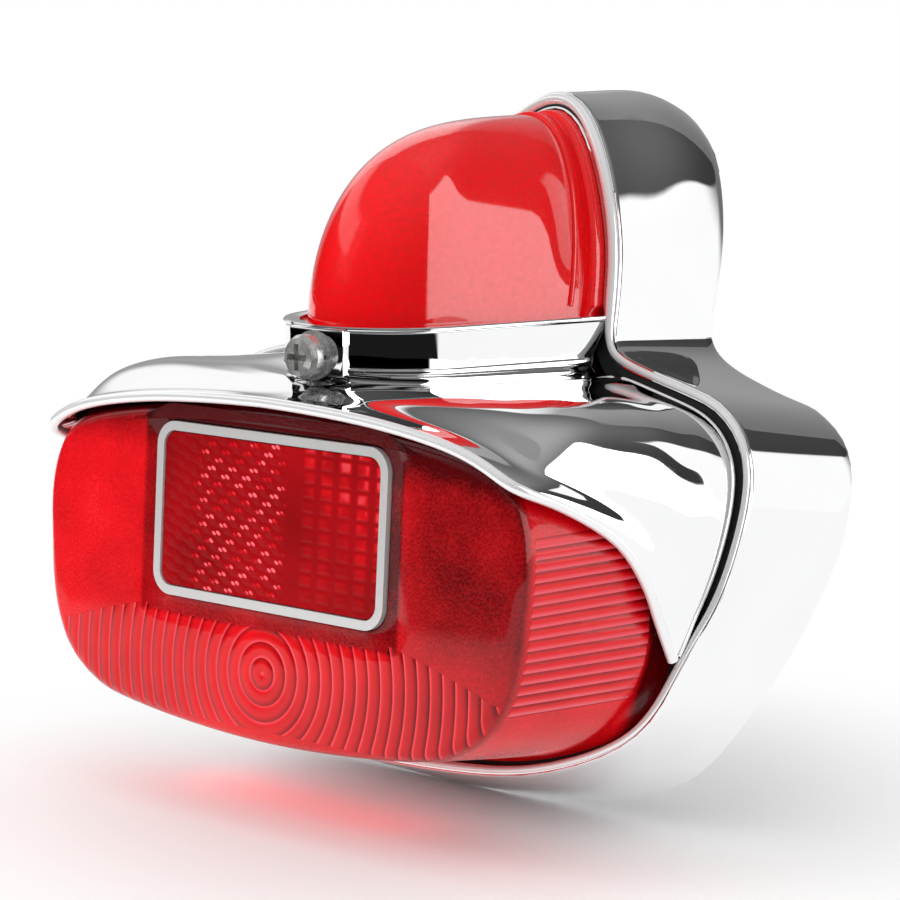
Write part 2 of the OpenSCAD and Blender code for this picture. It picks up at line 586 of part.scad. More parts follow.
function open_spline(p, n) = [for (i = [0:len(p) - 2]) for (k = [0:n - 1])
  hermite(open_key(p, i - 1), p[i], open_key(p, i + 1), open_key(p, i + 2), k / n), p[len(p) - 1]];
function collar_edge(v) = let (a = 0.6, z = lip_z + mix(sheet_rise, collar_end_z - lip_z, v),
  t = collar_flank, e = flank_at(slant_y(collar_end_z, rim_y)))
  v < a ? let (g = -90 + (t[2] + 90) * v / a) [(dome_nose_r + collar_mid) * cos(g),
    nose_y + (dome_nose_r + collar_mid) * sin(g), z]
  : [mix(t[0], e[0], (v - a) / (1 - a)), mix(t[1], e[1], (v - a) / (1 - a)), z];
rear_edge = concat([for (i = edge_ids) edge_at(i)], [collar_edge(1)]);
function middle_edge(u) = [0, mix(lip_y, nose_y - dome_nose_r - collar_mid, u),
  lip_z + sheet_rise * pow(u, 2.2)];
// The sheet blends its four edges; its width follows the rear edge sooner
SPREAD = [2.8, 1, 1];
function sheet_at(i, j) = let (v = i / COLUMNS, u = j / ROWS,
  a = lip_edge[i], b = collar_edge(v), c = middle_edge(u), d = rear_edge[j])
  [for (k = [0:2]) let (w = 1 - pow(1 - v, SPREAD[k])) (1 - u) * a[k] + u * b[k]
  + (1 - w) * c[k] + w * d[k] - (1 - u) * (1 - w) * lip_edge[0][k]
  - (1 - u) * w * visor_tip[k] - u * (1 - w) * middle_edge(1)[k] - u * w * collar_edge(1)[k]];
function sheet_normal(i, j) = let (
  dv = i == 0 ? [1, 0, 0] : sheet_at(min(i + 1, COLUMNS), j) - sheet_at(i - 1, j),
  du = sheet_at(i, min(j + 1, ROWS)) - sheet_at(i, max(j - 1, 0))) unit(cross(dv, du));
sheet_half = [for (j = [0:ROWS]) [for (i = [0:COLUMNS]) sheet_at(i, j)]];
sheet_back = [for (j = [0:ROWS]) [for (i = [0:COLUMNS])
  sheet_half[j][i] - sheet_normal(i, j) * visor_t]];
function both_sides(r) = concat([for (i = [len(r) - 1:-1:1]) flip(r[i])], r);
module visor_sheet() {
  sheet_skin([for (r = sheet_half) both_sides(r)], [for (r = sheet_back) both_sides(r)], false);
}
collar_top = dome_foot + 0.6;
ledge_z = dome_base - 0.8;
pad_w = 13;
pad_z = 25;
module collar() {
  intersection() {
    difference() {
      union() {
        nose(dome_nose_r + collar_t, flange_half_w + collar_t, collar_foot, collar_top - collar_foot);
        nose(dome_nose_r + collar_t + 0.6, flange_half_w + collar_t + 0.6, collar_foot,
          26 - collar_foot);
        nose(dome_nose_r + collar_t + 0.3, flange_half_w + collar_t + 0.3, collar_top - 1, 1);
        translate([-pad_w / 2, flat_y, pad_z]) cube([pad_w, collar_t + 1, collar_top - pad_z]);
      }
      nose(dome_nose_r + seat_gap, flange_half_w + seat_gap, collar_foot - 1,
        ledge_z - 1.2 - collar_foot + 1);
      nose(dome_nose_r - 2.6, flange_half_w - 2.6, collar_foot, far);
      nose(dome_nose_r + seat_gap, flange_half_w + seat_gap, ledge_z, dome_foot - ledge_z);
      nose(dome_nose_r - dome_flange_w + 0.4, dome_half_w + 0.6, ledge_z, far);
      difference() {
        nose(dome_nose_r + seat_gap, flange_half_w + seat_gap, ledge_z, far);
        in_front(rim_y - flange_front - seat_gap);
      }
    }
    in_front(rim_y - seat_gap);
  }
}
module visor() color(chrome) difference() {
  union() {
    visor_sheet();
    collar();
  }
  along_y(0, flat_y - 1, screw_z, collar_t + 9, screw_r + hole_gap);
  translate([-screw_r - hole_gap, nose_y - dome_nose_r, screw_z])
    cube([2 * (screw_r + hole_gap), 6, ledge_z - screw_z + eps]);
}
module dome_seal() color(rubber) intersection() {
  difference() {
    nose(dome_nose_r - rubber_gap, flange_half_w - rubber_gap, ledge_z, dome_base - ledge_z);
    nose(dome_nose_r - 2.6, flange_half_w - 2.6, ledge_z - 1, 3);
  }
  in_front(rim_y - flange_front - seat_gap);
}

// Screws and washers
module pan_head(y, z, x, r, h) {
  translate([x, y, z]) rotate([90, 0, 0]) rotate_extrude()
    polygon([[0, 0], [r, 0], [r, h * 0.5], [r * 0.85, h * 0.85], [r * 0.55, h], [0, h]]);
}
module cross_recess(y, z, x, r, h) {
  for (a = [0, 90]) translate([x, y - h - eps, z]) rotate([0, a, 0])
    translate([-r * 0.6, 0, -r * 0.14]) cube([r * 1.2, h * 0.6, r * 0.28]);
}
module visor_screw() color(steel) difference() {
  union() {
    pan_head(head_y, screw_z, 0, screw_head_r, screw_head_h);
    along_y(0, head_y - eps, screw_z, screw_end_y - head_y, screw_r);
  }
  cross_recess(head_y, screw_z, 0, screw_head_r, screw_head_h);
}
module lock_washer() color(steel) difference() {
  along_y(0, head_y, screw_z, lock_t, lock_r);
  along_y(0, head_y - 1, screw_z, lock_t + 2, washer_hole_r);
  translate([0, head_y - 1, screw_z - 0.4]) cube([lock_r + 1, lock_t + 2, 0.8]);
}
module plain_washer() color(steel) difference() {
  along_y(0, flat_y - washer_t, screw_z, washer_t, washer_r);
  along_y(0, flat_y - washer_t - 1, screw_z, washer_t + 2, washer_hole_r);
}
module carrier_screws() color(steel) for (p = POSTS) difference() {
  union() {
    pan_head(plate_y(p[1]), p[1], p[0], carrier_head_r, carrier_head_h);
    along_y(p[0], plate_y(p[1]) - eps, p[1], carrier_t + post_hole_depth - 1.5, carrier_screw_r);
  }
  cross_recess(plate_y(p[1]), p[1], p[0], carrier_head_r, carrier_head_h);
}

// Bulb carrier: one bent strip with two flat panels
neck_r = 4.3;
web_hole_r = screw_r + 2 * hole_gap;
module bulb_carrier() color(zinc) difference() {
  fold = -carrier_t * tan(web_lean / 2);
  rotate([90, 0, 90]) translate([0, 0, -carrier_w / 2]) linear_extrude(carrier_w) polygon([
    [brake_plate_y, carrier_low], [brake_plate_y, web_low], [tail_plate_y, web_high],
    [tail_plate_y, carrier_high], [tail_plate_y + carrier_t, carrier_high],
    [tail_plate_y + carrier_t, web_high + fold], [brake_plate_y + carrier_t, web_low + fold],
    [brake_plate_y + carrier_t, carrier_low]]);
  for (m = [-1, 1]) {
    translate([m > 0 ? tower_panel_w / 2 : -far - tower_panel_w / 2, tail_plate_y - 5, web_high])
      cube([far, 10, far]);
    translate([m > 0 ? tower_tab_w / 2 : -far - tower_tab_w / 2, tail_plate_y - 5, tail_z + 10.5])
      cube([far, 10, far]);
  }
  for (p = POSTS)
    along_y(p[0], plate_y(p[1]) - 1, p[1], carrier_t + 2, carrier_screw_r + hole_gap);
  along_y(0, brake_plate_y - 1, -brake_drop, carrier_t + 2, neck_r + seat_gap);
  along_y(0, tail_plate_y - 1, tail_z, carrier_t + 2, neck_r + seat_gap);
  along_y(0, tail_plate_y - 20, screw_z, 20, web_hole_r);
}

// One bulb with its socket, from the panel's front face at y = 0 forward
bulb_y = -3;
pin_r = 1;
pin_y = bulb_y - 6;
pin_proud = 1;
slot_w = 2 * (pin_r + slide_gap);
slot_back = pin_y + bulb_push + pin_r + slide_gap;
turn = 30;
dot_h = 0.6;
glass_depth = 2;
insulator_t = 1.3;
button_r = 2.5;
bore_r = 3.1;
shoulder = 1;
neck_l = 8;
plunger_y = shoulder + 0.5;
plunger_t = 0.8;
wire_r = 0.3;
coil_r = 2.3;
COILS = 4;
module brake_place() translate([0, brake_plate_y, -brake_drop]) children();
module tail_place() translate([0, tail_plate_y, tail_z]) children();
module socket() color(zinc) difference() {
  union() {
    along_y(0, -socket_l, 0, socket_l, cap_r + slide_gap + socket_t);
    along_y(0, -0.8, 0, 0.8, 9.6);
  }
  along_y(0, -socket_l - 1, 0, socket_l + 2, cap_r + slide_gap);
  for (a = [0, 180]) rotate([0, a, 0]) {
    translate([cap_r - 1, pin_y - pin_r - slide_gap, -slot_w / 2])
      cube([4, slot_back - pin_y + pin_r + slide_gap, slot_w]);
    translate([0, slot_back - slot_w - eps, 0]) rotate([-90, 0, 0]) rotate_extrude(angle = turn)
      translate([cap_r - 1, 0]) square([4, slot_w]);
    rotate([0, turn, 0]) translate([cap_r - 1, -socket_l - 1, -slot_w / 2])
      cube([4, socket_l + 1 + slot_back, slot_w]);
  }
}
module bulb_cap() color(brass) difference() {
  union() {
    along_y(0, bulb_y - cap_l, 0, cap_l - dot_h, cap_r);
    along_y(0, bulb_y - cap_l / 2, 0, cap_l / 2, 2.2);
    translate([-cap_r - pin_proud, pin_y, 0]) rotate([0, 90, 0])
      cylinder(h = 2 * (cap_r + pin_proud), r = pin_r);
  }
  along_y(0, bulb_y - cap_l - 1, 0, glass_depth + 1, cap_r - 0.7);
}
module bulb_glass() color(clear_glass) {
  translate([0, bulb_y - bulb_l + glass_r, 0]) sphere(r = glass_r);
  along_y(0, bulb_y - bulb_l + glass_r, 0, bulb_l - glass_r - cap_l + glass_depth - seat_gap,
    cap_r - 0.7 - seat_gap);
}
module insulator() color(insulation) difference() {
  union() {
    along_y(0, -insulator_t, 0, insulator_t, cap_r + slide_gap - seat_gap);
    along_y(0, -bite, 0, neck_l + bite, neck_r);
  }
  along_y(0, -insulator_t - 1, 0, 5, button_r + slide_gap);
  along_y(0, shoulder, 0, neck_l, bore_r);
}
module contact() color(brass) {
  along_y(0, bulb_y, 0, plunger_y - bulb_y + bite, button_r);
  along_y(0, plunger_y, 0, plunger_t, bore_r - slide_gap);
  along_y(0, plunger_y, 0, plunger_t + 1, 1.4);
}
module spring() color(steel) {
  low = plunger_y + plunger_t + wire_r;
  high = neck_l - wire_r;
  last = COILS * 14;
  rings = [for (k = [0:last]) let (a = k * 360 / 14, y = mix(low, high, k / last))
    [for (g = [0:60:300]) let (r = coil_r + wire_r * cos(g))
      [r * cos(a), y + wire_r * sin(g), r * sin(a)]]];
  polyhedron([for (r = rings) each r], concat([[5, 4, 3, 2, 1, 0]],
    [for (f = ring_faces(last + 1, 6, false)) [f[0], f[1], f[2]]],
    [[for (k = [0:5]) last * 6 + k]]));
}
module terminal() color(brass) {
  along_y(0, neck_l, 0, 0.6, neck_r);
  translate([-2.4, neck_l, -12]) cube([4.8, 0.6, 12]);
}
module tail_socket() tail_place() socket();
module tail_bulb_cap() tail_place() bulb_cap();
module tail_bulb_glass() tail_place() bulb_glass();
module tail_insulator() tail_place() insulator();
module tail_contact() tail_place() contact();
module tail_spring() tail_place() spring();
module tail_terminal() tail_place() terminal();
module brake_socket() brake_place() socket();
module brake_bulb_cap() brake_place() bulb_cap();
module brake_bulb_glass() brake_place() bulb_glass();
module brake_insulator() brake_place() insulator();
module brake_contact() brake_place() contact();
module brake_spring() brake_place() spring();
module brake_terminal() brake_place() terminal();

housing();
base_gasket();
cable_grommet();
rim_seal();
lower_lens();
reflector_frame();
reflector();
reflector_backing();
visor();
visor_screw();
lock_washer();
plain_washer();
dome_lens();
dome_seal();
bulb_carrier();
carrier_screws();
tail_socket();
tail_bulb_cap();
tail_bulb_glass();
tail_insulator();
tail_contact();
tail_spring();
tail_terminal();
brake_socket();
brake_bulb_cap();
brake_bulb_glass();
brake_insulator();
brake_contact();
brake_spring();
brake_terminal();
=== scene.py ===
"""Scooter tail light: chrome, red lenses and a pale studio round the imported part."""
import json
import math
import bpy
import numpy as np
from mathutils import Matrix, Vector

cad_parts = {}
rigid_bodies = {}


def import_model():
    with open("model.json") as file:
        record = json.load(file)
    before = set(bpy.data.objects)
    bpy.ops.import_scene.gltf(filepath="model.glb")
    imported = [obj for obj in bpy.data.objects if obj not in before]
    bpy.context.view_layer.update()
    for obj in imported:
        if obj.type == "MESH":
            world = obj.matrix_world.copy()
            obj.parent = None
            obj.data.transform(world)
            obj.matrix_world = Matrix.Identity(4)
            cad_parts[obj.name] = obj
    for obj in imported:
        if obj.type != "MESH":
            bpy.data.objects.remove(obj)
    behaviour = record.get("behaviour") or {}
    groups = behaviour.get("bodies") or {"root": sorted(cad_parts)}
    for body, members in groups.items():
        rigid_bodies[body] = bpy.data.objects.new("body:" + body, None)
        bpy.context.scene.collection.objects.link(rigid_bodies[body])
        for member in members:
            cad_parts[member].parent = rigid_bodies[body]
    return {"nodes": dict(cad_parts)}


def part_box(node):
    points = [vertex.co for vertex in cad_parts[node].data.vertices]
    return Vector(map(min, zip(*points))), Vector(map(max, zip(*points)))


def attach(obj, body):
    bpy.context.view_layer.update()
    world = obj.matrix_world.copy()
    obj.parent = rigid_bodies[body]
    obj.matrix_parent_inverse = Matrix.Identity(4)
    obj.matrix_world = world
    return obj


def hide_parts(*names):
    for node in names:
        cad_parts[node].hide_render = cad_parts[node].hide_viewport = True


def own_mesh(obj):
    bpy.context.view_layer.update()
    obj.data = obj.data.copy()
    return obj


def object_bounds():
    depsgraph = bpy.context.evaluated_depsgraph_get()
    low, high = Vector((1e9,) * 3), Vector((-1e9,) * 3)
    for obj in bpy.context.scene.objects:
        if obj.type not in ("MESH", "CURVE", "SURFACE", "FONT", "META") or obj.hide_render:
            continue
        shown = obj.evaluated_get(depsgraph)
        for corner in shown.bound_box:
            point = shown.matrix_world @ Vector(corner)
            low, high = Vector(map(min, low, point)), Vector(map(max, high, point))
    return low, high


for default in list(bpy.data.objects):
    bpy.data.objects.remove(default)
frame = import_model()
cad_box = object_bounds()
MM = 0.001
body = "lamp"

# Camera, fitted to the photo: place in metres, then tilt and turn in degrees
CAMERA_AT, CAMERA_DIP, CAMERA_TURN = (0.3883, -0.4624, 0.0930), 8.35, 42.0
camera_data = bpy.data.cameras.new("studio_camera")
camera_data.sensor_width = 36.0
camera_data.lens = 124.0
camera_data.clip_start = 0.01
camera = bpy.data.objects.new("studio_camera", camera_data)
bpy.context.scene.collection.objects.link(camera)
camera.location = CAMERA_AT
camera.rotation_euler = (math.radians(90.0 - CAMERA_DIP), 0.0, math.radians(CAMERA_TURN))
bpy.context.scene.camera = camera

# Sizes shared with the part, in millimetres; outlines are shares of half width and height
BODY_W, TOWER_TOP, RIM_DROP, REAR_DROP = 142.8, 74.5, 46.5, 57.0
REAR_LEAN = math.radians(25.6)
SLOPE = math.tan(REAR_LEAN)
GASKET, DOME_REACH = 1.5, 64.6
RIM_Y, BACK_Y = -34.9, -GASKET / math.cos(REAR_LEAN)
SEAL_Y = RIM_Y + 1.8
LENS_REACH, LENS_W, LENS_TOP, LENS_DROP = 79.6, 119.6, 20.2, 40.2
LENS_LEAN = math.tan(math.radians(3.8))
FRONT = [(0, 1), (.126, .950), (.253, .809), (.354, .642), (.404, .502), (.429, .419),
         (.484, .368), (.683, .323), (.824, .286), (.930, .211), (.987, .103), (1, -.065),
         (.986, -.262), (.941, -.447), (.891, -.675), (.775, -.826), (.549, -.946),
         (.280, -.989), (0, -1)]
REAR = [(0, .957), (.112, .925), (.238, .832), (.325, .685), (.371, .550), (.395, .423),
        (.455, .326), (.699, .250), (.805, .226), (.913, .164), (.973, .078), (.997, -.070),
        (.986, -.219), (.940, -.437), (.875, -.618), (.763, -.830), (.560, -.944),
        (.280, -.986), (0, -1)]
LENS = [(0, 1), (.418, .941), (.736, .817), (.903, .644), (.977, .322), (1, -.025),
        (.993, -.224), (.977, -.448), (.936, -.634), (.866, -.776), (.753, -.881),
        (.619, -.933), (.334, -.98), (0, -1)]
DOME_FOOT, DOME_TOP, DOME_HALF_W, DOME_R = 33.6, 70.4, 24.0, 16.5
DOME_REAR_Y, DOME_NOSE_Y = DOME_TOP * SLOPE + RIM_Y - 0.9, -DOME_REACH + 2.3
COLLAR_R, COLLAR_HALF_W = 20, 28
COLLAR_NOSE_Y, FLANK_Y = 18.0 - DOME_REACH, DOME_FOOT * SLOPE + RIM_Y
MERGE = 2e-6


def slant(z, d):
    """Depth at height z of the leaning plane that has depth d at z = 0."""
    return z * SLOPE + d


def ease(t):
    t = np.clip(t, 0, 1)
    return t * t * (3 - 2 * t)


def smooth_path(points, steps, mirrored):
    """Dense Catmull-Rom path through key points; mirrored keys close it round x = 0."""
    p = np.array(points, float)
    flip = p * ([-1] + [1] * (p.shape[1] - 1))
    first = flip[1:2]
    last = flip[-2:-1] if mirrored else p[-1:]
    q = np.vstack([first, p, last])
    out = []
    for i in range(len(p) - 1):
        a, b, c, d = q[i:i + 4]
        for k in range(steps):
            t = k / steps
            out.append(.5 * (2 * b + (c - a) * t + (2 * a - 5 * b + 4 * c - d) * t * t
                             + (3 * b - a - 3 * c + d) * t ** 3))
    out.append(p[-1])
    return np.array(out)


def averaged(loop, passes):
    for _ in range(passes):
        loop = loop + .25 * (np.roll(loop, 1, 0) + np.roll(loop, -1, 0) - 2 * loop)
    return loop


def closed(half, softness):
    """Both halves of an outline as one loop, rounded by averaging at its full size."""
    left = half[1:-1][::-1] * ([-1] + [1] * (half.shape[1] - 1))
    loop = np.vstack([half, left])
    soft = averaged(loop, softness)
    return soft + averaged(loop - soft, softness)


def inward(p):
    """Directions from a clockwise loop towards its inside."""
    d = np.roll(p, -1, 0) - np.roll(p, 1, 0)
    n = np.stack([d[:, 1], -d[:, 0]], 1)
    return n / np.maximum(np.linalg.norm(n, axis=1, keepdims=True), 1e-9)


def inset(p, w):
    return p + inward(p) * np.reshape(w, (-1, 1))


STEPS = 10
rim_line = closed(smooth_path([(x * BODY_W / 2, z * (TOWER_TOP if z > 0 else RIM_DROP))
                               for x, z in FRONT], STEPS, True), 30)
rear_line = closed(smooth_path([(x * BODY_W / 2, z * (TOWER_TOP if z > 0 else REAR_DROP))
                                for x, z in REAR], STEPS, True), 40)
# Where the loop passes its lowest point, and how far each point belongs to the tower
bottom = len(rim_line) // 2
tower_share = ease((rim_line[:, 1] - .419 * TOWER_TOP + 4) / 12)
rim_wall = 1.6 + 1.5 * tower_share


def lengths(path):
    """Distance from a path's start at each of its points."""
    return np.concatenate([[0], np.cumsum(np.linalg.norm(np.diff(path, axis=0), axis=1))])


def capped(sections):
    """Sections of a closed band with both ends drawn in to their middle."""
    ends = [np.repeat(s.mean(0)[None], sections.shape[1], 0)[None]
            for s in (sections[0], sections[-1])]
    return np.concatenate([ends[0], sections, ends[1]], 0)


def on_slant(p, d):
    return np.stack([p[:, 0], slant(p[:, 1], d), p[:, 1]], 1)


# Modelling tools
def deselect():
    for o in bpy.context.view_layer.objects:
        o.select_set(False)


def edit_all(obj, *steps):
    """Runs edit-mode steps on the whole mesh of one object."""
    deselect()
    obj.select_set(True)
    bpy.context.view_layer.objects.active = obj
    bpy.ops.object.mode_set(mode="EDIT")
    bpy.ops.mesh.select_all(action="SELECT")
    for step in steps:
        step()
    bpy.ops.object.mode_set(mode="OBJECT")


def net(name, rows, wrap_rows=False, wrap_columns=False, angle=40):
    """A grid primitive drawn over rows of points in millimetres, with its seams merged."""
    p = np.array(rows, float)
    if wrap_columns:
        p = np.concatenate([p, p[:, :1]], 1)
    if wrap_rows:
        p = np.concatenate([p, p[:1]], 0)
    n, m = p.shape[:2]
    deselect()
    bpy.ops.mesh.primitive_grid_add(x_subdivisions=m - 1, y_subdivisions=n - 1)
    obj = bpy.context.object
    obj.name = name
    obj.data.name = name
    obj.data.vertices.foreach_set("co", (p * MM).astype(np.float32).ravel())
    edit_all(obj, lambda: bpy.ops.mesh.remove_doubles(threshold=MERGE),
             lambda: bpy.ops.mesh.normals_make_consistent(inside=False))
    bpy.ops.object.shade_smooth_by_angle(angle=math.radians(angle))
    return obj


def pair(name, outer, inner, angle=40):
    """A sheet between two nets of equal size, closed along its edges."""
    o, i = np.array(outer, float), np.array(inner, float)[:, ::-1]
    ring = np.concatenate([o, i], 1)
    middle = (o + i[:, ::-1]) / 2
    ends = [np.concatenate([m, m[::-1]], 0) for m in (middle[0], middle[-1])]
    return net(name, np.concatenate([ends[0][None], ring, ends[1][None]], 0),
               wrap_columns=True, angle=angle)


def tube(name, path, radius, sides, up=(0, 0, 1)):
    """A round rod along an open path in millimetres."""
    p = np.array(path, float)
    t = np.gradient(p, axis=0)
    t /= np.linalg.norm(t, axis=1, keepdims=True)
    a = np.cross(t, np.array(up, float))
    a /= np.linalg.norm(a, axis=1, keepdims=True)
    b = np.cross(a, t)
    g = np.linspace(0, 2 * math.pi, sides, endpoint=False)
    r = np.broadcast_to(radius, (len(p),))[:, None, None]
    rows = p[:, None] + r * (np.cos(g)[None, :, None] * a[:, None]
                             + np.sin(g)[None, :, None] * b[:, None])
    rows = np.concatenate([np.repeat(p[:1, None], sides, 1), rows,
                           np.repeat(p[-1:, None], sides, 1)], 0)
    return net(name, rows, wrap_columns=True, angle=60)


def joined(name, *pieces):
    deselect()
    for o in pieces:
        o.select_set(True)
    bpy.context.view_layer.objects.active = pieces[0]
    bpy.ops.object.join()
    pieces[0].name = name
    pieces[0].data.name = name
    return pieces[0]


# Materials
def new_material(name, **sockets):
    m = bpy.data.materials.new(name)
    m.use_nodes = True
    shader = m.node_tree.nodes["Principled BSDF"]
    for key, value in sockets.items():
        shader.inputs[key.replace("_", " ")].default_value = value
    return m, m.node_tree, shader


def node(tree, kind, **values):
    n = tree.nodes.new(kind)
    for k, v in values.items():
        setattr(n, k, v)
    return n


def place(tree):
    return node(tree, "ShaderNodeTexCoord").outputs["Object"]


def split(tree, vector):
    n = node(tree, "ShaderNodeSeparateXYZ")
    tree.links.new(vector, n.inputs[0])
    return n.outputs


def calc(tree, operation, a, b=None):
    n = node(tree, "ShaderNodeMath", operation=operation)
    for i, v in enumerate((a, b)):
        if v is None:
            continue
        if isinstance(v, (int, float)):
            n.inputs[i].default_value = v
        else:
            tree.links.new(v, n.inputs[i])
    return n.outputs[0]


def product(tree, first, *others):
    for other in others:
        first = calc(tree, "MULTIPLY", first, other)
    return first


def total(tree, first, *others):
    for other in others:
        first = calc(tree, "ADD", first, other)
    return first


def rest_of(tree, value):
    return calc(tree, "SUBTRACT", 1.0, value)


def ramp(tree, value, low, high, to_low=0.0, to_high=1.0):
    n = node(tree, "ShaderNodeMapRange", interpolation_type="SMOOTHSTEP")
    for i, v in enumerate((low, high, to_low, to_high), 1):
        n.inputs[i].default_value = v
    tree.links.new(value, n.inputs[0])
    return n.outputs[0]


def noise(tree, scale, detail=2.0, roughness=0.5):
    n = node(tree, "ShaderNodeTexNoise")
    n.inputs["Scale"].default_value = scale
    n.inputs["Detail"].default_value = detail
    n.inputs["Roughness"].default_value = roughness
    tree.links.new(place(tree), n.inputs["Vector"])
    return n.outputs["Fac"]


def bump(tree, shader, height, distance, strength=1.0):
    n = node(tree, "ShaderNodeBump")
    n.inputs["Strength"].default_value = strength
    n.inputs["Distance"].default_value = distance
    tree.links.new(height, n.inputs["Height"])
    tree.links.new(n.outputs[0], shader.inputs["Normal"])


def tint(tree, factor, dark, light):
    n = node(tree, "ShaderNodeMix", data_type="RGBA")
    n.inputs[6].default_value = (*dark, 1)
    n.inputs[7].default_value = (*light, 1)
    tree.links.new(factor, n.inputs[0])
    return n.outputs[2]


def stops(tree, value, low, middle_at, middle, high):
    """A colour that runs from low over middle to high as a value goes from 0 to 1."""
    n = node(tree, "ShaderNodeValToRGB")
    n.color_ramp.elements[0].color = (*low, 1)
    n.color_ramp.elements[1].color = (*high, 1)
    n.color_ramp.elements.new(middle_at).color = (*middle, 1)
    tree.links.new(value, n.inputs[0])
    return n.outputs[0]


def metal(name, color, rough_low, rough_high, grain, depth, metallic=1.0):
    """Metal with fine spots in its gloss; grain is their scale, depth their height in metres."""
    m, tree, shader = new_material(name, Metallic=metallic)
    spots = noise(tree, grain, 3)
    tree.links.new(ramp(tree, spots, .35, .7, rough_low, rough_high), shader.inputs["Roughness"])
    shade = [c * .93 for c in color]
    tree.links.new(tint(tree, noise(tree, 60), shade, color), shader.inputs["Base Color"])
    bump(tree, shader, spots, depth)
    return m


CHROME = (.965, .968, .975)
chrome = metal("mirror_chrome", CHROME, .015, .05, 260, 2e-7)
visor_chrome = metal("visor_chrome", CHROME, .015, .05, 240, 2e-7)
# Beads in part-diffuse near-white metal that look lit from every side: a painted highlight
painted_highlight_edge = metal("painted_highlight_edge", (.97, .97, .975), .08, .14, 400, 2e-7, .4)
satin_chrome = metal("satin_chrome", (.86, .85, .84), .2, .26, 900, 4e-7, .45)
screw_steel = metal("screw_nickel", (.62, .62, .61), .18, .36, 1100, 3e-6, .7)
spring_steel = metal("spring_steel", (.5, .5, .52), .2, .35, 2000, 2e-6)
zinc = metal("zinc_plate", (.62, .62, .58), .3, .5, 420, 5e-6)
brass = metal("plain_brass", (.8, .6, .28), .22, .4, 500, 4e-6)


def rubber_finish():
    m, tree, shader = new_material("black_rubber", Specular_IOR_Level=.35)
    grain = noise(tree, 1600, 3)
    tree.links.new(tint(tree, grain, (.006, .006, .006), (.022, .022, .022)),
                   shader.inputs["Base Color"])
    tree.links.new(ramp(tree, grain, .2, .8, .5, .75), shader.inputs["Roughness"])
    bump(tree, shader, grain, 2e-5)
    return m


def board_finish():
    m, tree, shader = new_material("laminated_board", Roughness=.6)
    layers = node(tree, "ShaderNodeTexWave", bands_direction="Y")
    layers.inputs["Scale"].default_value = 700
    layers.inputs["Distortion"].default_value = 1.5
    tree.links.new(place(tree), layers.inputs["Vector"])
    tree.links.new(tint(tree, layers.outputs["Fac"], (.22, .11, .045), (.4, .22, .1)),
                   shader.inputs["Base Color"])
    bump(tree, shader, noise(tree, 1500), 1e-5)
    return m


def bulb_glass_finish():
    m, tree, shader = new_material("bulb_glass", Transmission_Weight=.92, IOR=1.46,
                                   Base_Color=(.97, .98, .98, 1))
    tree.links.new(ramp(tree, noise(tree, 90), .3, .7, .02, .07), shader.inputs["Roughness"])
    return m


def cells(tree, scale, smooth=0.0):
    n = node(tree, "ShaderNodeTexVoronoi", feature="SMOOTH_F1" if smooth else "F1")
    n.inputs["Scale"].default_value = scale
    if smooth:
        n.inputs["Smoothness"].default_value = smooth
    tree.links.new(place(tree), n.inputs["Vector"])
    return n.outputs["Distance"]


def dome_finish():
    m, tree, shader = new_material(
        "red_dome_acrylic", IOR=1.49, Transmission_Weight=.08, Coat_Weight=1.0,
        Coat_Roughness=.04, Coat_IOR=1.7, Specular_IOR_Level=.1)
    grain = cells(tree, 1150, .6)
    broad = noise(tree, 45)
    shade = total(tree, product(tree, grain, .7), product(tree, broad, .45))
    tree.links.new(tint(tree, ramp(tree, shade, .25, .75), (1.0, .003, .007), (.84, .001, .003)),
                   shader.inputs["Base Color"])
    tree.links.new(ramp(tree, grain, .2, .7, .16, .3), shader.inputs["Roughness"])
    bump(tree, shader, grain, 5e-5, .6)
    return m


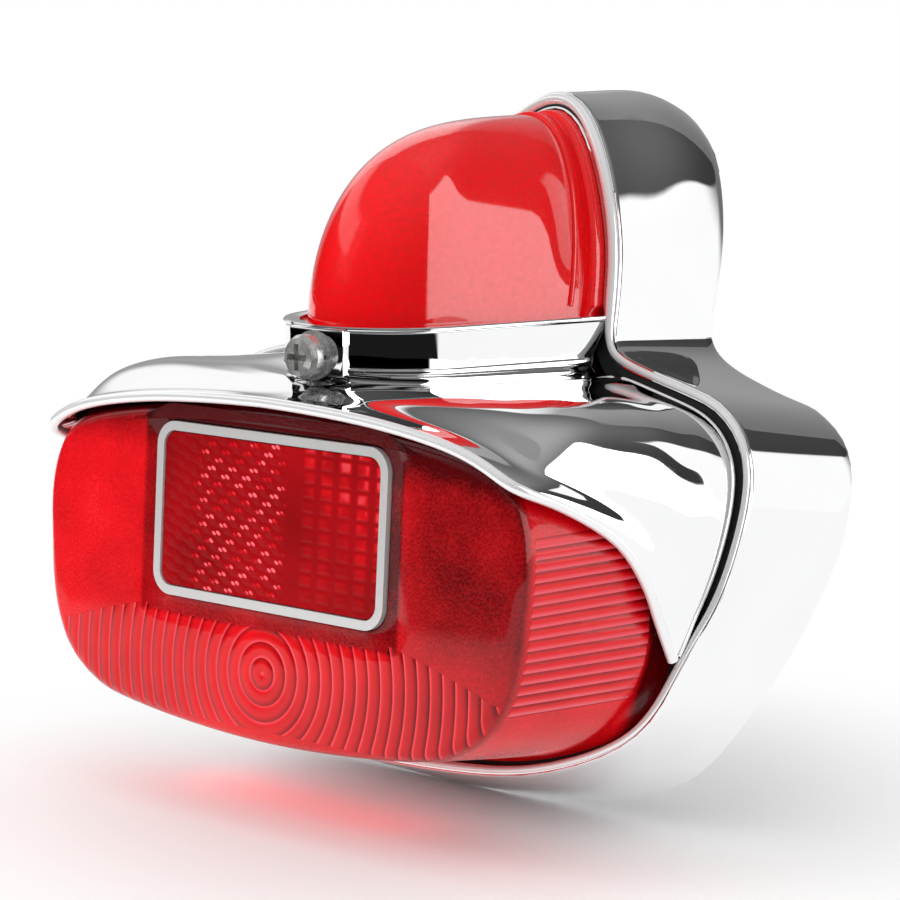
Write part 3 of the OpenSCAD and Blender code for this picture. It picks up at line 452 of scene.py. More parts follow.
def lens_finish():
    """Pebbled face, bull's-eye rings below the window and flat ribs on the sides."""
    m, tree, shader = new_material(
        "red_lens_acrylic", IOR=1.49, Transmission_Weight=.08, Coat_Weight=.5,
        Coat_Roughness=.03, Coat_IOR=1.5, Specular_IOR_Level=.1)
    ring_pitch, rib_pitch, ring_drop = .0029, .00193, .0272
    x, y, z = split(tree, place(tree))

    def add(*values):
        return total(tree, *values)

    def mul(*values):
        return product(tree, *values)

    def less(a, b):
        return calc(tree, "SUBTRACT", a, b)

    def below(a, b):
        return calc(tree, "LESS_THAN", a, b)

    def above(a, b):
        return calc(tree, "GREATER_THAN", a, b)

    drop = add(z, ring_drop)
    radius = calc(tree, "SQRT", add(mul(x, x), mul(drop, drop)))
    ring = calc(tree, "FRACT", mul(radius, 1 / ring_pitch))
    rib = calc(tree, "FRACT", add(mul(z, 1 / rib_pitch), 50.0))
    # Depth behind the leaning face, then where the ring band and the side ribs are
    behind = less(y, less(mul(z, LENS_LEAN), LENS_REACH * MM))
    wide = calc(tree, "ABSOLUTE", x)
    band_top = calc(tree, "MINIMUM", add(mul(x, x, -3.2), -.0150), -.0150)
    band_top = calc(tree, "MINIMUM", band_top, ramp(tree, wide, .030, .033, -.0192, 0))
    band = mul(below(z, band_top), above(z, -.0375), ramp(tree, behind, .0006, .0016, 1, 0))
    side = mul(ramp(tree, behind, .003, .0036), ramp(tree, behind, .0303, .0309, 1, 0),
               below(z, .0036), above(z, -.0272), above(wide, .045))
    plain = rest_of(tree, add(band, side))
    ring_wave = calc(tree, "ABSOLUTE", calc(tree, "SINE", mul(ring, math.pi)))
    rib_wave = calc(tree, "ABSOLUTE", calc(tree, "SINE", mul(rib, math.pi)))
    relief = add(mul(ring_wave, band, .6), mul(rib_wave, side, .7))
    pebble = cells(tree, 1900, .4)
    bump(tree, shader, add(relief, mul(pebble, plain, .1)), 4e-4)
    smooth = node(tree, "ShaderNodeBump")
    smooth.inputs["Distance"].default_value = 1e-4
    tree.links.new(relief, smooth.inputs["Height"])
    tree.links.new(smooth.outputs[0], shader.inputs["Coat Normal"])
    # Painted highlights and dark lines on rings, ribs and pebbles, with cloudy tone at random
    clouds = less(noise(tree, 70, 3, .6), .5)
    ring_light = less(ramp(tree, ring, 0, .25, .42, 0), ramp(tree, ring, .6, 1, 0, .2))
    rib_light = less(ramp(tree, rib, 0, .5, .75, .05), ramp(tree, rib, .55, .95, 0, .25))
    glow = add(add(mul(ring_light, band), mul(rib_light, side)),
               add(mul(less(pebble, .4), plain, .12), mul(clouds, .3)))
    # Painted shade: round the face, under the visor, to the right, round the window and over the
    # skirt
    edge = mul(ramp(tree, behind, .0006, .0016), ramp(tree, behind, .0026, .0034, 1, 0))
    # Painted shadow of the visor over the top of the face
    painted_shadow_under_visor = mul(ramp(tree, z, .0085, .019), ramp(tree, behind, .003, .006, 1, 0))
    # Painted shade on the right of the face, weaker towards the bottom
    painted_shade_right = mul(ramp(tree, x, .014, .042), ramp(tree, z, -.024, -.012, .4, 1),
               ramp(tree, behind, .0006, .003, 1, 0))
    high = calc(tree, "ABSOLUTE", z)
    # Painted shade in the recess round the window
    painted_shade_round_window = mul(ramp(tree, wide, .0318, .0330, 1, 0), ramp(tree, high, .0188, .0200, 1, 0),
                   below(behind, .001))
    # Painted shade along the face's rounded edge, weaker to the right
    outline = mul(edge, ramp(tree, x, .03, .05, .3, .12))
    # All painted shade; the last term darkens the skirt behind the shoulder
    shade = add(outline, mul(painted_shade_round_window, .22), mul(painted_shadow_under_visor, .3),
                mul(ramp(tree, behind, .0305, .0325), .4))
    # Random tone with painted highlights and painted shade, as the value for the red
    glow = less(add(glow, .355), add(shade, mul(painted_shade_right, .26)))
    red = stops(tree, glow, (.1, .0003, .0015), .42, (.88, .004, .010), (1.0, .1, .14))
    tree.links.new(red, shader.inputs["Base Color"])
    tree.links.new(ramp(tree, pebble, .1, .7, .14, .26), shader.inputs["Roughness"])
    return m


def reflector_finish():
    """Small prisms with painted glints: pairs of bright points on one side, short bars on the
    other.
    """
    m, tree, shader = new_material("prism_acrylic", IOR=1.49, Coat_Weight=.5, Coat_Roughness=.05,
                                   Roughness=.25, Specular_IOR_Level=.1)
    dot_pitch, row_pitch, bar_pitch, bar_row = .0036, .0022, .0044, .0026
    x, y, z = split(tree, place(tree))

    def add(a, b):
        return calc(tree, "ADD", a, b)

    def mul(*values):
        return product(tree, *values)

    def wave(a, pitch):
        return calc(tree, "ABSOLUTE", calc(tree, "SINE", mul(a, math.pi / pitch)))

    slope = add(z, mul(x, .35))
    row = calc(tree, "FLOOR", mul(slope, 1 / row_pitch))
    stagger = mul(calc(tree, "MODULO", calc(tree, "ABSOLUTE", row), 2.0), dot_pitch / 2)
    shifted = add(x, stagger)
    dots = mul(wave(shifted, dot_pitch), wave(slope, row_pitch))
    twins = mul(wave(add(shifted, .0011), dot_pitch), wave(add(slope, .0005), row_pitch))
    dots = calc(tree, "MAXIMUM", dots, mul(twins, .97))
    bars = mul(ramp(tree, wave(z, bar_row), .15, .8),
               ramp(tree, wave(add(x, .0012), bar_pitch), .3, .9))
    right = ramp(tree, x, .006, .010)
    left = rest_of(tree, ramp(tree, x, .002, .005))
    patches = ramp(tree, noise(tree, 200, 1), .4, .6, .25, 1)
    # Painted glints: dots on the left, bars on the right, in random patches, the bars brighter
    # towards the upper right
    lit_dots = mul(mul(ramp(tree, dots, .82, .95), left),
                   mul(ramp(tree, x, -.021, -.014), patches))
    corner = mul(ramp(tree, add(x, z), .012, .034, .1, .5), patches)
    lit_bars = mul(bars, right, corner)
    bump(tree, shader, add(mul(dots, left), mul(bars, right)), 3e-4, .35)
    # Painted glints over random cloudy tone
    value = add(calc(tree, "MAXIMUM", lit_dots, lit_bars), mul(noise(tree, 60, 2), .35))
    red = stops(tree, value, (.14, .0004, .0015), .45, (.64, .002, .007), (1.0, .16, .2))
    tree.links.new(red, shader.inputs["Base Color"])
    return m


dome_red = dome_finish()
lens_red = lens_finish()
prism_red = reflector_finish()
black_rubber = rubber_finish()
bulb_glass = bulb_glass_finish()
board = board_finish()


def finish(obj, material, slot=None):
    obj.data.materials.clear()
    obj.data.materials.append(material)
    if slot:
        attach(obj, body)


# Housing
TOWER_SWELL, PLATING = 1.7, -0.12


def held(distance, limit, softness=.1):
    """Keeps a distance under its limit, with a soft bend instead of a flat cut."""
    return limit - softness * np.logaddexp(0, (limit - distance) / softness)


def housing_row(t, w, lift=0.0):
    """One outline of the housing; the tower's sides and top swell between rim and rear."""
    line = rim_line + (rear_line - rim_line) * t
    swell = TOWER_SWELL * math.sin(math.pi * t ** 1.6) * ease((line[:, 1] - 36) / 20)
    line = inset(line, w - swell)
    x = np.sign(line[:, 0]) * held(np.abs(line[:, 0]), BODY_W / 2)
    z = -held(-held(line[:, 1], TOWER_TOP), REAR_DROP)
    return on_slant(np.stack([x, z], 1), RIM_Y + (BACK_Y - RIM_Y) * t + lift)


# Rows from the rear edge over the skin to the rim, then down its inside
rows = [housing_row(1, 2.2, .1), housing_row(1, .3, .1), housing_row(1, -.02, -.1)]
rows += [housing_row(t, PLATING) for t in np.linspace(.985, .03, 14)]
rows += [housing_row(.015, PLATING + .02), housing_row(.005, PLATING + .16),
         housing_row(0, PLATING + .42, -.07)]
rows += [housing_row(0, rim_wall - .5, -.1), housing_row(0, rim_wall - .12, .1),
         housing_row(0, rim_wall + .02, .5), housing_row(.05, rim_wall + .02, .1)]
rows += [housing_row(.05, rim_wall - .8, .1)]
rows += [housing_row(t, .7) for t in np.linspace(.08, .97, 6)]
housing_plating = net("housing_plating", rows, wrap_rows=True, wrap_columns=True, angle=50)
rim_r = .7 + .45 * tower_share
rim_path = on_slant(inset(rim_line, rim_r + .2), RIM_Y + .15)
rim_bead = tube("rim_bead", np.vstack([rim_path[bottom:], rim_path[:bottom + 1]]),
                np.append(rim_r[bottom:], rim_r[:bottom + 1]), 12, up=(0, 1, 0))
finish(rim_bead, painted_highlight_edge, "housing_chrome")
finish(housing_plating, chrome, "housing_chrome")


# Collar
def touch(c, r, w, e):
    """Where, and at what angle, the tangent from (w, e) meets the circle r round (0, c)."""
    a = math.atan2(e - c, w) - math.acos(min(r / math.hypot(w, e - c), 1))
    return r * math.cos(a), c + r * math.sin(a), a


def nose_path(r, w, end_y, v):
    """Point on a round nose with straight flanks; v runs from the middle to the end."""
    tx, ty, g = touch(COLLAR_NOSE_Y, r, w, FLANK_Y)
    ex = tx + (w - tx) * (end_y - ty) / (FLANK_Y - ty)
    v = np.abs(v)
    a = np.radians(-90) + (g + math.pi / 2) * np.minimum(v / .6, 1)
    s = np.clip((v - .6) / .4, 0, 1)
    arc = v < .6
    return np.stack([np.where(arc, r * np.cos(a), tx + (ex - tx) * s),
                     np.where(arc, COLLAR_NOSE_Y + r * np.sin(a), ty + (end_y - ty) * s)], -1)


def both(v, p):
    """Puts the points with a negative v on the left."""
    return p * np.stack([np.where(v < 0, -1.0, 1.0), np.ones_like(v)], -1)


# Steps of the collar's section: how far out, and height
profile = [(-2.6, 34.2), (-2.2, 34.35), (-.2, 34.4), (.2, 34.35), (.42, 34.1), (.45, 33.8),
           (.3, 33.5), (.02, 33.3), (0, 33), (0, 27.3), (.05, 27.05), (.35, 26.9), (.55, 26.65),
           (.55, 26.4), (.35, 26.15), (.1, 25.95), (.02, 25.6), (.12, 25.15), (.45, 24.75),
           (1.0, 24.45), (1.9, 24.2), (2.4, 23.6), (1.6, 22.8), (-1.6, 22.2), (-1.8, 23.5),
           (-1.8, 33.2)]
across = np.linspace(-1, 1, 181)
rows = []
for o, z in profile:
    fall = 2.3 * np.abs(across) ** 1.3 * np.clip((27.3 - z) / 2.5, 0, 1)
    zz = z - fall
    p = np.stack([nose_path(COLLAR_R + o, COLLAR_HALF_W + o, slant(zz[i], RIM_Y - .15), v)
                  for i, v in enumerate(across)])
    p = both(across, p)
    rows.append(np.stack([p[:, 0], p[:, 1], zz], 1))
collar_band = net("collar_band", capped(np.array(rows).transpose(1, 0, 2)), wrap_columns=True,
                  angle=35)

# Flat for the screw
deselect()
bpy.ops.mesh.primitive_cube_add(size=1, location=(0, -.06525, .02965), scale=(.0134, .0044, .0088))
flat_pad = bpy.context.object
bpy.ops.object.transform_apply(location=True, rotation=True, scale=True)
edit_all(flat_pad, lambda: bpy.ops.mesh.bevel(offset=.0007, segments=3, affect="EDGES"))
bpy.ops.object.shade_smooth_by_angle(angle=math.radians(40))

# Visor
SHEET = 1.2
LIP_Y, LIP_Z = -80.8, 22.6
LIP = [(0, LIP_Y, LIP_Z), (17, LIP_Y, 22.1), (31, LIP_Y, 21), (44, LIP_Y, 19), (52, LIP_Y, 16.6),
       (57.5, -80.2, 13.6), (60.6, -77.1, 11.4), (62.2, -71.1, 8.6), (64, -63, 4),
       (65.2, -57.6, -.6), (66.1, -53.3, -7.2), (66.5, -51, -12.8)]
half = rim_line[:bottom + 1]
half_in = inward(rim_line)[:len(half)]
tip_i, foot_i = 13 * STEPS, 6 * STEPS


def rear_edge(i):
    """Point of the sheet's rear edge at point i of the rim."""
    s = ease((tip_i - i) / STEPS)
    p = half[i] + half_in[i] * (.5 + 2.1 * s)
    return [p[0], slant(p[1], RIM_Y - 2.3 + .9 * s), p[1]]


rear_side = np.array([rear_edge(i) for i in range(tip_i, foot_i - 1, -1)])
end_z, collar_z = 22.2, 24.5
sheet_r, sheet_half_w = COLLAR_R - 1, COLLAR_HALF_W - 1
cx, cy = nose_path(sheet_r, sheet_half_w, slant(end_z, RIM_Y), np.array([1.0]))[0]
collar_end = np.array([cx, cy, end_z])
rear_side = np.vstack([rear_side, [(rear_side[-1] * 2 + collar_end) / 3, collar_end]])
lip_side = smooth_path(LIP + [tuple(rear_side[0])], 8, False)


def softened(path, passes):
    """An open path, or a row of sections, rounded by averaging, with its ends held."""
    p = path.copy()
    for _ in range(passes):
        p[1:-1] += .25 * (p[:-2] + p[2:] - 2 * p[1:-1])
    return p


def at_index(path, index):
    return np.stack([np.interp(index, np.arange(len(path)), path[:, k]) for k in range(3)], -1)


# The sheet's four edges: u runs from the lip to the collar, v from the middle to the side
u = np.linspace(0, 1, 45)
v = np.linspace(0, 1, 111)
lip_dense = softened(lip_side, 12)
lip_v = at_index(lip_dense, v * (len(lip_dense) - 1))
# Rows of the rear edge fall where the part's own rows do: closer near the tip
cad_rows = np.array([39, 38, 37, 36, 34, 32, 30, 28, 26, 24, 22, 20, 18, 16.6]) * STEPS / 3
spread_u = np.interp(u, np.linspace(0, 1, len(cad_rows)), tip_i - cad_rows)
rear_u = softened(at_index(rear_side, spread_u / (tip_i - cad_rows[-1]) * (len(rear_side) - 1)), 4)
collar_xy = nose_path(sheet_r, sheet_half_w, slant(end_z, RIM_Y), v)
collar_v = np.concatenate([collar_xy, (collar_z + (end_z - collar_z) * v)[:, None]], 1)
middle_u = np.stack([0 * u, LIP_Y + (collar_v[0, 1] - LIP_Y) * u, LIP_Z + 1.9 * u ** 2.2], -1)
lip_v[0], middle_u[0] = lip_dense[0], lip_dense[0]
# Across, the sheet nears its side edge earlier in x than in y and z
spread = np.array([2.8, 1.0, 1.0])
up, out = u[:, None, None], 1 - (1 - v[None, :, None]) ** spread
visor_top = ((1 - up) * lip_v[None] + up * collar_v[None] + (1 - out) * middle_u[:, None]
             + out * rear_u[:, None] - (1 - up) * (1 - out) * lip_v[0] - (1 - up) * out * rear_u[0]
             - up * (1 - out) * collar_v[0] - up * out * collar_v[-1])
visor_top = np.concatenate([visor_top[:, :0:-1] * [-1, 1, 1], visor_top], 1)
normal = np.cross(np.gradient(visor_top, axis=1), np.gradient(visor_top, axis=0))
normal /= np.maximum(np.linalg.norm(normal, axis=2, keepdims=True), 1e-9)
visor_top = visor_top + normal * .05
visor_sheet = pair("visor_sheet", visor_top, visor_top - normal * SHEET, angle=50)
lip_bead = tube("lip_bead", visor_top[0] - normal[0] * .85, 1.0, 14)
outwards = visor_top[1:-1, -1] - visor_top[1:-1, -3]
outwards /= np.linalg.norm(outwards, axis=1, keepdims=True)
roll = np.minimum(1, np.linspace(0, 6, len(outwards)))[:, None]
edge_path = visor_top[1:-1, -1] + outwards * .1 * roll - normal[1:-1, -1] * .5
right_edge = tube("right_edge", edge_path, .72, 12, up=(1, 0, 0))
left_edge = tube("left_edge", edge_path * [-1, 1, 1], .72, 12, up=(1, 0, 0))
visor = joined("visor_and_collar", visor_sheet, collar_band, flat_pad)
finish(visor, visor_chrome, "visor_chrome")
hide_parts("visor")
visor_bead = joined("visor_bead", lip_bead, right_edge, left_edge)
finish(visor_bead, painted_highlight_edge, "visor_chrome")


# Lower lens
SHOULDER_LEAN, SHOULDER_REACH, EDGE_R = .21, 47, 2.6


def lens_loop(wide, covered, up, down):
    """The face's outline, made wider at its ends, under the visor, upwards and downwards."""
    keys = [(x * LENS_W / 2 * (covered if abs(z) < .33 else wide),
             z * (LENS_TOP * up if z > 0 else LENS_DROP * down)) for x, z in LENS]
    return closed(smooth_path(keys, STEPS, True), 16)


def rim_key(k, w):
    """Key point k of the rim, moved inwards by w."""
    return tuple(rim_line[k * STEPS] + half_in[k * STEPS] * w)


face_loop = lens_loop(1, 1, 1, 1)
shoulder_loop = lens_loop(1.09, 1.062, .866, 1.075)
skirt_loop = closed(smooth_path([(0, 16.5), (25, 16.3), (44, 15.3), (54.5, 13.6)]
                                + [rim_key(k, 6.5) for k in range(9, 13)] + [rim_key(13, 4.3)]
                                + [rim_key(k, 2.1) for k in range(14, 19)], STEPS, True), 10)


def face_at(p, d):
    return np.stack([p[:, 0], p[:, 1] * LENS_LEAN - LENS_REACH + d, p[:, 1]], 1)


def shoulder_at(p, d):
    return np.stack([p[:, 0], SHOULDER_LEAN * p[:, 1] - SHOULDER_REACH + d, p[:, 1]], 1)


def round_rectangle(w, h, r, count):
    """Loop from the top's middle clockwise, evenly spaced."""
    pts = [(0, h / 2)]
    for sx, sz, a0 in ((1, 1, 90), (1, -1, 0), (-1, -1, -90), (-1, 1, -180)):
        for k in range(13):
            a = math.radians(a0 - 90 * k / 12)
            pts.append((sx * (w / 2 - r) + r * math.cos(a), sz * (h / 2 - r) + r * math.sin(a)))
    pts.append((0, h / 2))
    p = np.array(pts)
    d = lengths(p)
    t = np.linspace(0, d[-1], count, endpoint=False)
    return np.stack([np.interp(t, d, p[:, 0]), np.interp(t, d, p[:, 1])], 1)


count = len(face_loop)
mouth = round_rectangle(58.4, 32.4, 4.7, count)
# The window's floor, wall and step, then the face
rows = [face_at(mouth * 0, 4.3), face_at(mouth * .5, 4.3), face_at(mouth, 4.3), face_at(mouth, .7),
        face_at(round_rectangle(59.0, 33.0, 5.0, count), .4),
        face_at(round_rectangle(63.4, 37.4, 6.6, count), .35)]
inner_face = inset(face_loop, EDGE_R)
rim_of_window = round_rectangle(64.4, 38.4, 7.0, count)
for t in (0, .15, .3, .45, .6, .75, .9, 1):
    rows.append(face_at(rim_of_window + (inner_face - rim_of_window) * t, 0))
# Round edge of the face, side wall, shoulder and skirt
for g in (12, 25, 40, 55, 70, 82, 90):
    a = math.radians(g)
    rows.append(face_at(inset(face_loop, EDGE_R * (1 - math.sin(a))), EDGE_R * (1 - math.cos(a))))
start, stop = face_at(face_loop, EDGE_R), shoulder_at(shoulder_loop, -.5)
for t in np.linspace(.06, 1, 14):
    rows.append(start + (stop - start) * t)
rows += [shoulder_at(inset(shoulder_loop, .12), -.15), shoulder_at(inset(shoulder_loop, .5), .1),
         shoulder_at(inset(shoulder_loop, 1), .3)]
low, end = shoulder_at(inset(shoulder_loop, 1.1), .7), on_slant(skirt_loop, SEAL_Y)
rows += [low + (end - low) * t for t in (0, .25, .5, .75, 1)]
# Inside, back to the window
rows += [on_slant(inset(skirt_loop, 1.9), SEAL_Y), shoulder_at(inset(shoulder_loop, 3), 0),
         face_at(inset(face_loop, 2.5), 3.4), face_at(inset(face_loop, 3.4), 2.1),
         face_at(round_rectangle(61.2, 35.2, 6.0, count), 2.1),
         face_at(round_rectangle(61.2, 35.2, 6.0, count), 5.8),
         face_at(mouth * .5, 5.8), face_at(mouth * 0, 5.8)]
lens = net("ribbed_lens", rows, wrap_columns=True, angle=45)
finish(lens, lens_red, "red_lens")
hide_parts("lower_lens")


# Dome
ARCH_STEPS = 44


def dome_parts(z, o):
    """Share of the height at z, and how far forward the dome goes there, o under its skin."""
    up = np.clip((z - DOME_FOOT) / (DOME_TOP - o - DOME_FOOT), 0, 1)
    tip = DOME_REAR_Y - (DOME_REAR_Y - DOME_NOSE_Y - o) * (1 - up ** 1.9) ** .249
    return up, tip


def dome_x(z, y, o):
    """Half width: slim at the tower's arch, full over the nose."""
    up, tip = dome_parts(z, o)
    slim, full = (1 - up ** 1.3) ** .69, (1 - up ** 1.9) ** .464
    f = max(slim + (full - slim) * float(ease((slant(z, RIM_Y) - y) / 13)), .001)
    r, w = (DOME_R - o) * f, (DOME_HALF_W - o) * f
    c, e = tip + r, slant(z, RIM_Y)
    if y <= tip:
        return 0.0
    tx, ty, _ = touch(c, r, w, e)
    if y > ty:
        return tx + (w - tx) * (y - ty) / max(e - ty, .001)
    return math.sqrt(max(r * r - (y - c) ** 2, 0))


def section_y(z, s, o):
    """Depth at height z of section s; s is 0 at the flange and 1 at the nose."""
    return slant(z, RIM_Y) * (1 - s) + (DOME_NOSE_Y + o) * s


def arch(s, o):
    """Section s of the dome, from its right foot over the top to its left foot."""
    lo, hi = DOME_FOOT, DOME_TOP - o
    for _ in range(30):
        mid = (lo + hi) / 2
        if section_y(mid, s, o) > dome_parts(mid, o)[1]:
            lo = mid
        else:
            hi = mid
    side = []
    for k in range(ARCH_STEPS):
        z = DOME_FOOT + (lo - DOME_FOOT) * math.sin(math.pi / 2 * k / ARCH_STEPS)
        side.append((dome_x(z, section_y(z, s, o), o), section_y(z, s, o), z))
    side = np.array(side)
    top = np.array([[0, section_y(lo, s, o), lo]])
    return softened(np.vstack([side, top, side[::-1] * [-1, 1, 1]]), 2)


sections = [.995 * math.sin(math.pi / 2 * k / 40) for k in range(41)]
outer = softened(np.array([arch(s, 0) for s in sections]), 3)
inner = np.array([arch(s, 2) for s in sections])
nose_tip = np.array([0, DOME_NOSE_Y, DOME_FOOT])
outer_net = np.concatenate([outer, np.repeat(nose_tip[None, None], outer.shape[1], 1)], 0)
inner_net = np.concatenate(
    [inner, np.repeat(nose_tip[None, None] + [0, 2, 0], outer.shape[1], 1)], 0)
dome_body = pair("dome_body", outer_net, inner_net, angle=60)

# Flange: a band between the dome's foot and the rim, with its lower ends square
FLANGE_HALF_W, FLANGE_FOOT = 25.2, 32.2
flange_side = [p for p in inset(rim_line, rim_wall + .28)[:bottom] if p[1] > DOME_FOOT + .6]
flange_side = np.array([(min(x, FLANGE_HALF_W) if z < 35.2 else x, z) for x, z in flange_side])
flange_side = np.vstack([flange_side, [(FLANGE_HALF_W, DOME_FOOT), (FLANGE_HALF_W, FLANGE_FOOT)]])
opening = np.stack([np.abs(outer[0][ARCH_STEPS:, 0]) - 0.6, outer[0][ARCH_STEPS:, 2]], 1)
share = np.linspace(0, 1, 80)


def spaced(path, values):
    """Values at even shares of a path's length."""
    d = lengths(path)
    return np.stack([np.interp(share * d[-1], d, values[:, k]) for k in (0, 1)], 1)


hole = spaced(opening, np.stack([np.maximum(opening[:, 0], 0), opening[:, 1]], 1))
rim_arch = spaced(flange_side, flange_side)
hole = np.vstack([hole[::-1] * [-1, 1], hole[1:]])
rim_arch = np.vstack([rim_arch[::-1] * [-1, 1], rim_arch[1:]])


def band_row(a, b, t, d):
    return on_slant(a + (b - a) * t, d)


rows = [band_row(rim_arch, hole, 0, SEAL_Y), band_row(rim_arch, hole, 0, RIM_Y - 1.9),
        band_row(rim_arch, hole, .12, RIM_Y - 2.4), band_row(rim_arch, hole, .3, RIM_Y - 2.55),
        band_row(rim_arch, hole, .6, RIM_Y - 2.6), band_row(rim_arch, hole, 1, RIM_Y - 2.6),
        band_row(rim_arch, hole, 1, SEAL_Y)]
dome_flange = net("dome_flange", capped(np.array(rows).transpose(1, 0, 2)), wrap_columns=True,
                  angle=50)
bead_line = outer[3] + (outer[3] - outer[3].mean(0)) * .004
dome_bead = tube("dome_bead", bead_line[2:-2], .55, 10, up=(0, 1, .2))
foot_rows = []
for o, z in [(-3.5, FLANGE_FOOT), (0, FLANGE_FOOT), (0, DOME_FOOT), (-1.2, 33.7), (-3.5, 33.7)]:
    p = both(across, nose_path(COLLAR_R - 2 + o, COLLAR_HALF_W - 2 + o,
                               slant(33, RIM_Y - 2.6), across))
    foot_rows.append(np.concatenate([p, np.full((len(p), 1), z)], 1))
dome_foot = net("dome_foot", capped(np.array(foot_rows).transpose(1, 0, 2)), wrap_columns=True)
dome = joined("dome_shell", dome_body, dome_flange, dome_bead, dome_foot)
finish(dome, dome_red, "red_dome")
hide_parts("dome_lens")


# Springs
PUSH, WIRE_R, COIL_R, TURNS, END_IN = 1.5, .3, 2.3, 4, .26


def contact_spring(name):
    """Round wire in a coil between the ends of the spring's part, which it stands in for."""
    low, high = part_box(name)
    start, end = low[1] / MM + END_IN, high[1] / MM - END_IN
    middle = (low[2] + high[2]) / 2 / MM
    angle = np.linspace(0, 2 * math.pi * TURNS, TURNS * 24 + 1)
    path = np.stack([COIL_R * np.cos(angle), np.linspace(start, end, len(angle)),
                     middle + COIL_R * np.sin(angle)], 1)
    wire = tube(name + "_wire", path, WIRE_R, 8, up=(0, 1, 0))
    finish(wire, spring_steel, "spring_steel")
    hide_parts(name)
    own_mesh(wire)


contact_spring("tail_spring")
contact_spring("brake_spring")


# Finishes of the CAD nodes
FINISHES = {
    "housing": chrome, "base_gasket": black_rubber, "cable_grommet": black_rubber,
    "rim_seal": black_rubber, "reflector_frame": satin_chrome, "reflector": prism_red,
    "reflector_backing": zinc, "visor_screw": screw_steel, "lock_washer": screw_steel,
    "plain_washer": screw_steel, "dome_seal": black_rubber, "bulb_carrier": zinc,
    "carrier_screws": screw_steel, "visor": visor_chrome, "lower_lens": lens_red,
    "dome_lens": dome_red}
for side in ("tail", "brake"):
    FINISHES.update({side + "_socket": zinc, side + "_bulb_cap": brass,
                     side + "_bulb_glass": bulb_glass, side + "_insulator": board,
                     side + "_contact": brass, side + "_spring": spring_steel,
                     side + "_terminal": brass})
for name, obj in frame["nodes"].items():
    obj.data.materials.clear()
    obj.data.materials.append(FINISHES[name])


# Studio
def floor_finish():
    """Pale floor that keeps the lamp's shadow, and shows plain white further off."""
    m, tree, shader = new_material("pale_floor", Base_Color=(.97, .97, .97, 1), Roughness=.6,
                                   Specular_IOR_Level=.1)
    ray = node(tree, "ShaderNodeLightPath").outputs
    away = node(tree, "ShaderNodeVectorMath", operation="DISTANCE")
    away.inputs[1].default_value = (0, -.045, -.057)
    tree.links.new(place(tree), away.inputs[0])
    distance = away.outputs["Value"]
    far = calc(tree, "MAXIMUM", ramp(tree, distance, .06, .15),
               product(tree, ramp(tree, distance, .03, .1), ray["Is Glossy Ray"]))
    seen = product(tree, calc(tree, "MAXIMUM", ray["Is Camera Ray"], ray["Is Glossy Ray"]), far)
    # In mirrors, the floor far in front of the lamp is dark
    in_front = ramp(tree, split(tree, place(tree))[1], -.1, -.02, 1, 0)
    dark = product(tree, ramp(tree, distance, .36, .44), in_front, ray["Is Glossy Ray"])
    white = node(tree, "ShaderNodeEmission")
    tree.links.new(ramp(tree, dark, 0, 1, 1, .01), white.inputs["Strength"])
    blend = node(tree, "ShaderNodeMixShader")
    tree.links.new(seen, blend.inputs[0])
    tree.links.new(shader.outputs[0], blend.inputs[1])
    tree.links.new(white.outputs[0], blend.inputs[2])
    tree.links.new(blend.outputs[0], tree.nodes["Material Output"].inputs[0])
    return m


def studio_floor(z, size):
    deselect()
    bpy.ops.mesh.primitive_plane_add(size=1, location=(0, 0, z))
    obj = bpy.context.object
    obj.name = "studio_floor"
    obj.scale = (size, size, 1)
    bpy.ops.object.transform_apply(location=True, rotation=True, scale=True)
    obj.data.materials.append(floor_finish())


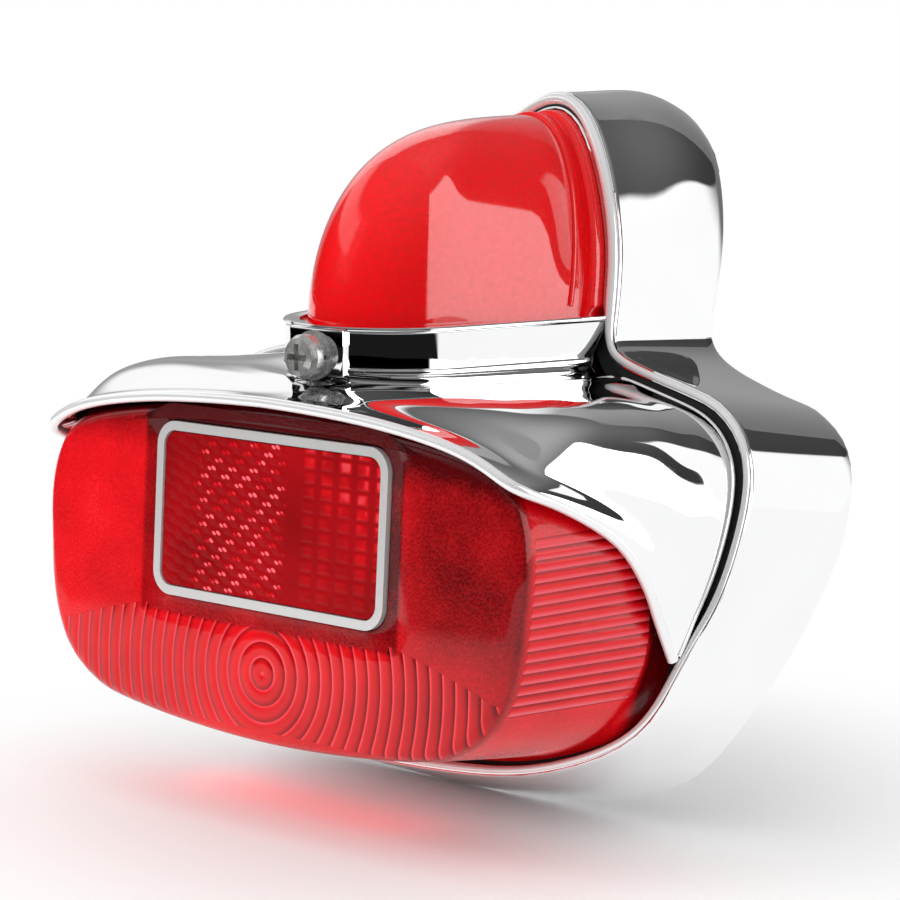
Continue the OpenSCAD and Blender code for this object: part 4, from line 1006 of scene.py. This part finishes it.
def mirrored_room(tree):
    """Brightness that mirrors see round the lamp: walls, a ceiling and a window.

    Angles are degrees from the front towards +x, and heights are sines of the rise.
    """
    x, y, height = split(tree, node(tree, "ShaderNodeTexCoord").outputs["Generated"])
    angle = product(tree, calc(tree, "ARCTAN2", x, product(tree, y, -1.0)), 180 / math.pi)
    wall_right = ramp(tree, angle, 79, 85)
    wall_left = ramp(tree, angle, -112, -96, 1, 0)
    notch = product(tree, ramp(tree, angle, 122, 132), ramp(tree, angle, 136, 141, 1, 0))
    wall_top = total(tree, ramp(tree, angle, 118, 132, .82, .6), product(tree, notch, -.44))
    wall_top = calc(tree, "SUBTRACT", wall_top, ramp(tree, angle, 146, 176, 0, .36))
    wall_top = calc(tree, "MAXIMUM", product(tree, wall_top, wall_right),
                    product(tree, wall_left, .7))
    under = ramp(tree, calc(tree, "SUBTRACT", height, wall_top), -.02, .02, 1, 0)
    strong = product(tree, ramp(tree, angle, 128, 140, 1.8, 0), wall_right)
    right_level = product(tree, wall_right, ramp(tree, angle, 160, 178, 1, .12))
    left_glow = product(tree, ramp(tree, angle, -146, -136), ramp(tree, height, .1, .34, 0, .66))
    left_level = total(tree, ramp(tree, angle, -180, -140, .12, .3), left_glow)
    wall = total(tree, right_level, product(tree, wall_left, left_level), strong)
    upward = calc(tree, "MAXIMUM", height, 0.0)
    sides = calc(tree, "MAXIMUM", wall_right, wall_left)
    side_ceiling = total(tree, product(tree, calc(tree, "POWER", upward, 4.0), .36), .04)
    front_ceiling = product(tree, calc(tree, "POWER", upward, 2.0), .3)
    ceiling = total(tree, product(tree, side_ceiling, sides),
                    product(tree, front_ceiling, rest_of(tree, sides)))
    window = product(tree, ramp(tree, angle, -112, -102), ramp(tree, angle, -46, -38, 1, 0),
                     ramp(tree, height, .36, .42), ramp(tree, height, .6, .68, .7, 0))
    return total(tree, product(tree, wall, under), total(tree, ceiling, window))


def studio_sky():
    """White to the eye and through glass, nearly white to the lamp, and a room to mirrors."""
    world = bpy.data.worlds.new("studio_world")
    bpy.context.scene.world = world
    world.use_nodes = True
    tree = world.node_tree
    sky = tree.nodes["Background"]
    sky.inputs["Color"].default_value = (1, 1, 1, 1)
    ray = node(tree, "ShaderNodeLightPath").outputs
    mirrored = product(tree, mirrored_room(tree), ray["Is Glossy Ray"])
    clear = calc(tree, "MAXIMUM", ray["Is Camera Ray"], ray["Is Transmission Ray"])
    soft = product(tree, rest_of(tree, calc(tree, "MAXIMUM", clear, ray["Is Glossy Ray"])), .95)
    tree.links.new(total(tree, clear, soft, mirrored), sky.inputs["Strength"])


def softbox(name, place_at, target, size, power):
    data = bpy.data.lights.new(name, "AREA")
    data.shape = "RECTANGLE"
    data.size, data.size_y = size
    data.energy = power
    obj = bpy.data.objects.new(name, data)
    bpy.context.scene.collection.objects.link(obj)
    obj.location = place_at
    obj.rotation_euler = (Vector(target) - Vector(place_at)).to_track_quat("-Z", "Y").to_euler()
    obj.visible_camera = obj.visible_glossy = False
    return obj


studio_floor(cad_box[0][2], 6)
studio_sky()
softbox("key_softbox", (-.55, -.7, .5), (0, -.03, .0), (.4, .5), 3)
# Red light that the lens throws on the floor
lens_glow = softbox("lens_glow", (-.01, -.058, -.047), (-.01, -.058, -.057), (.06, .012), .002)
lens_glow.data.color = (1, .02, .04)

bpy.context.scene.view_settings.view_transform = "Standard"
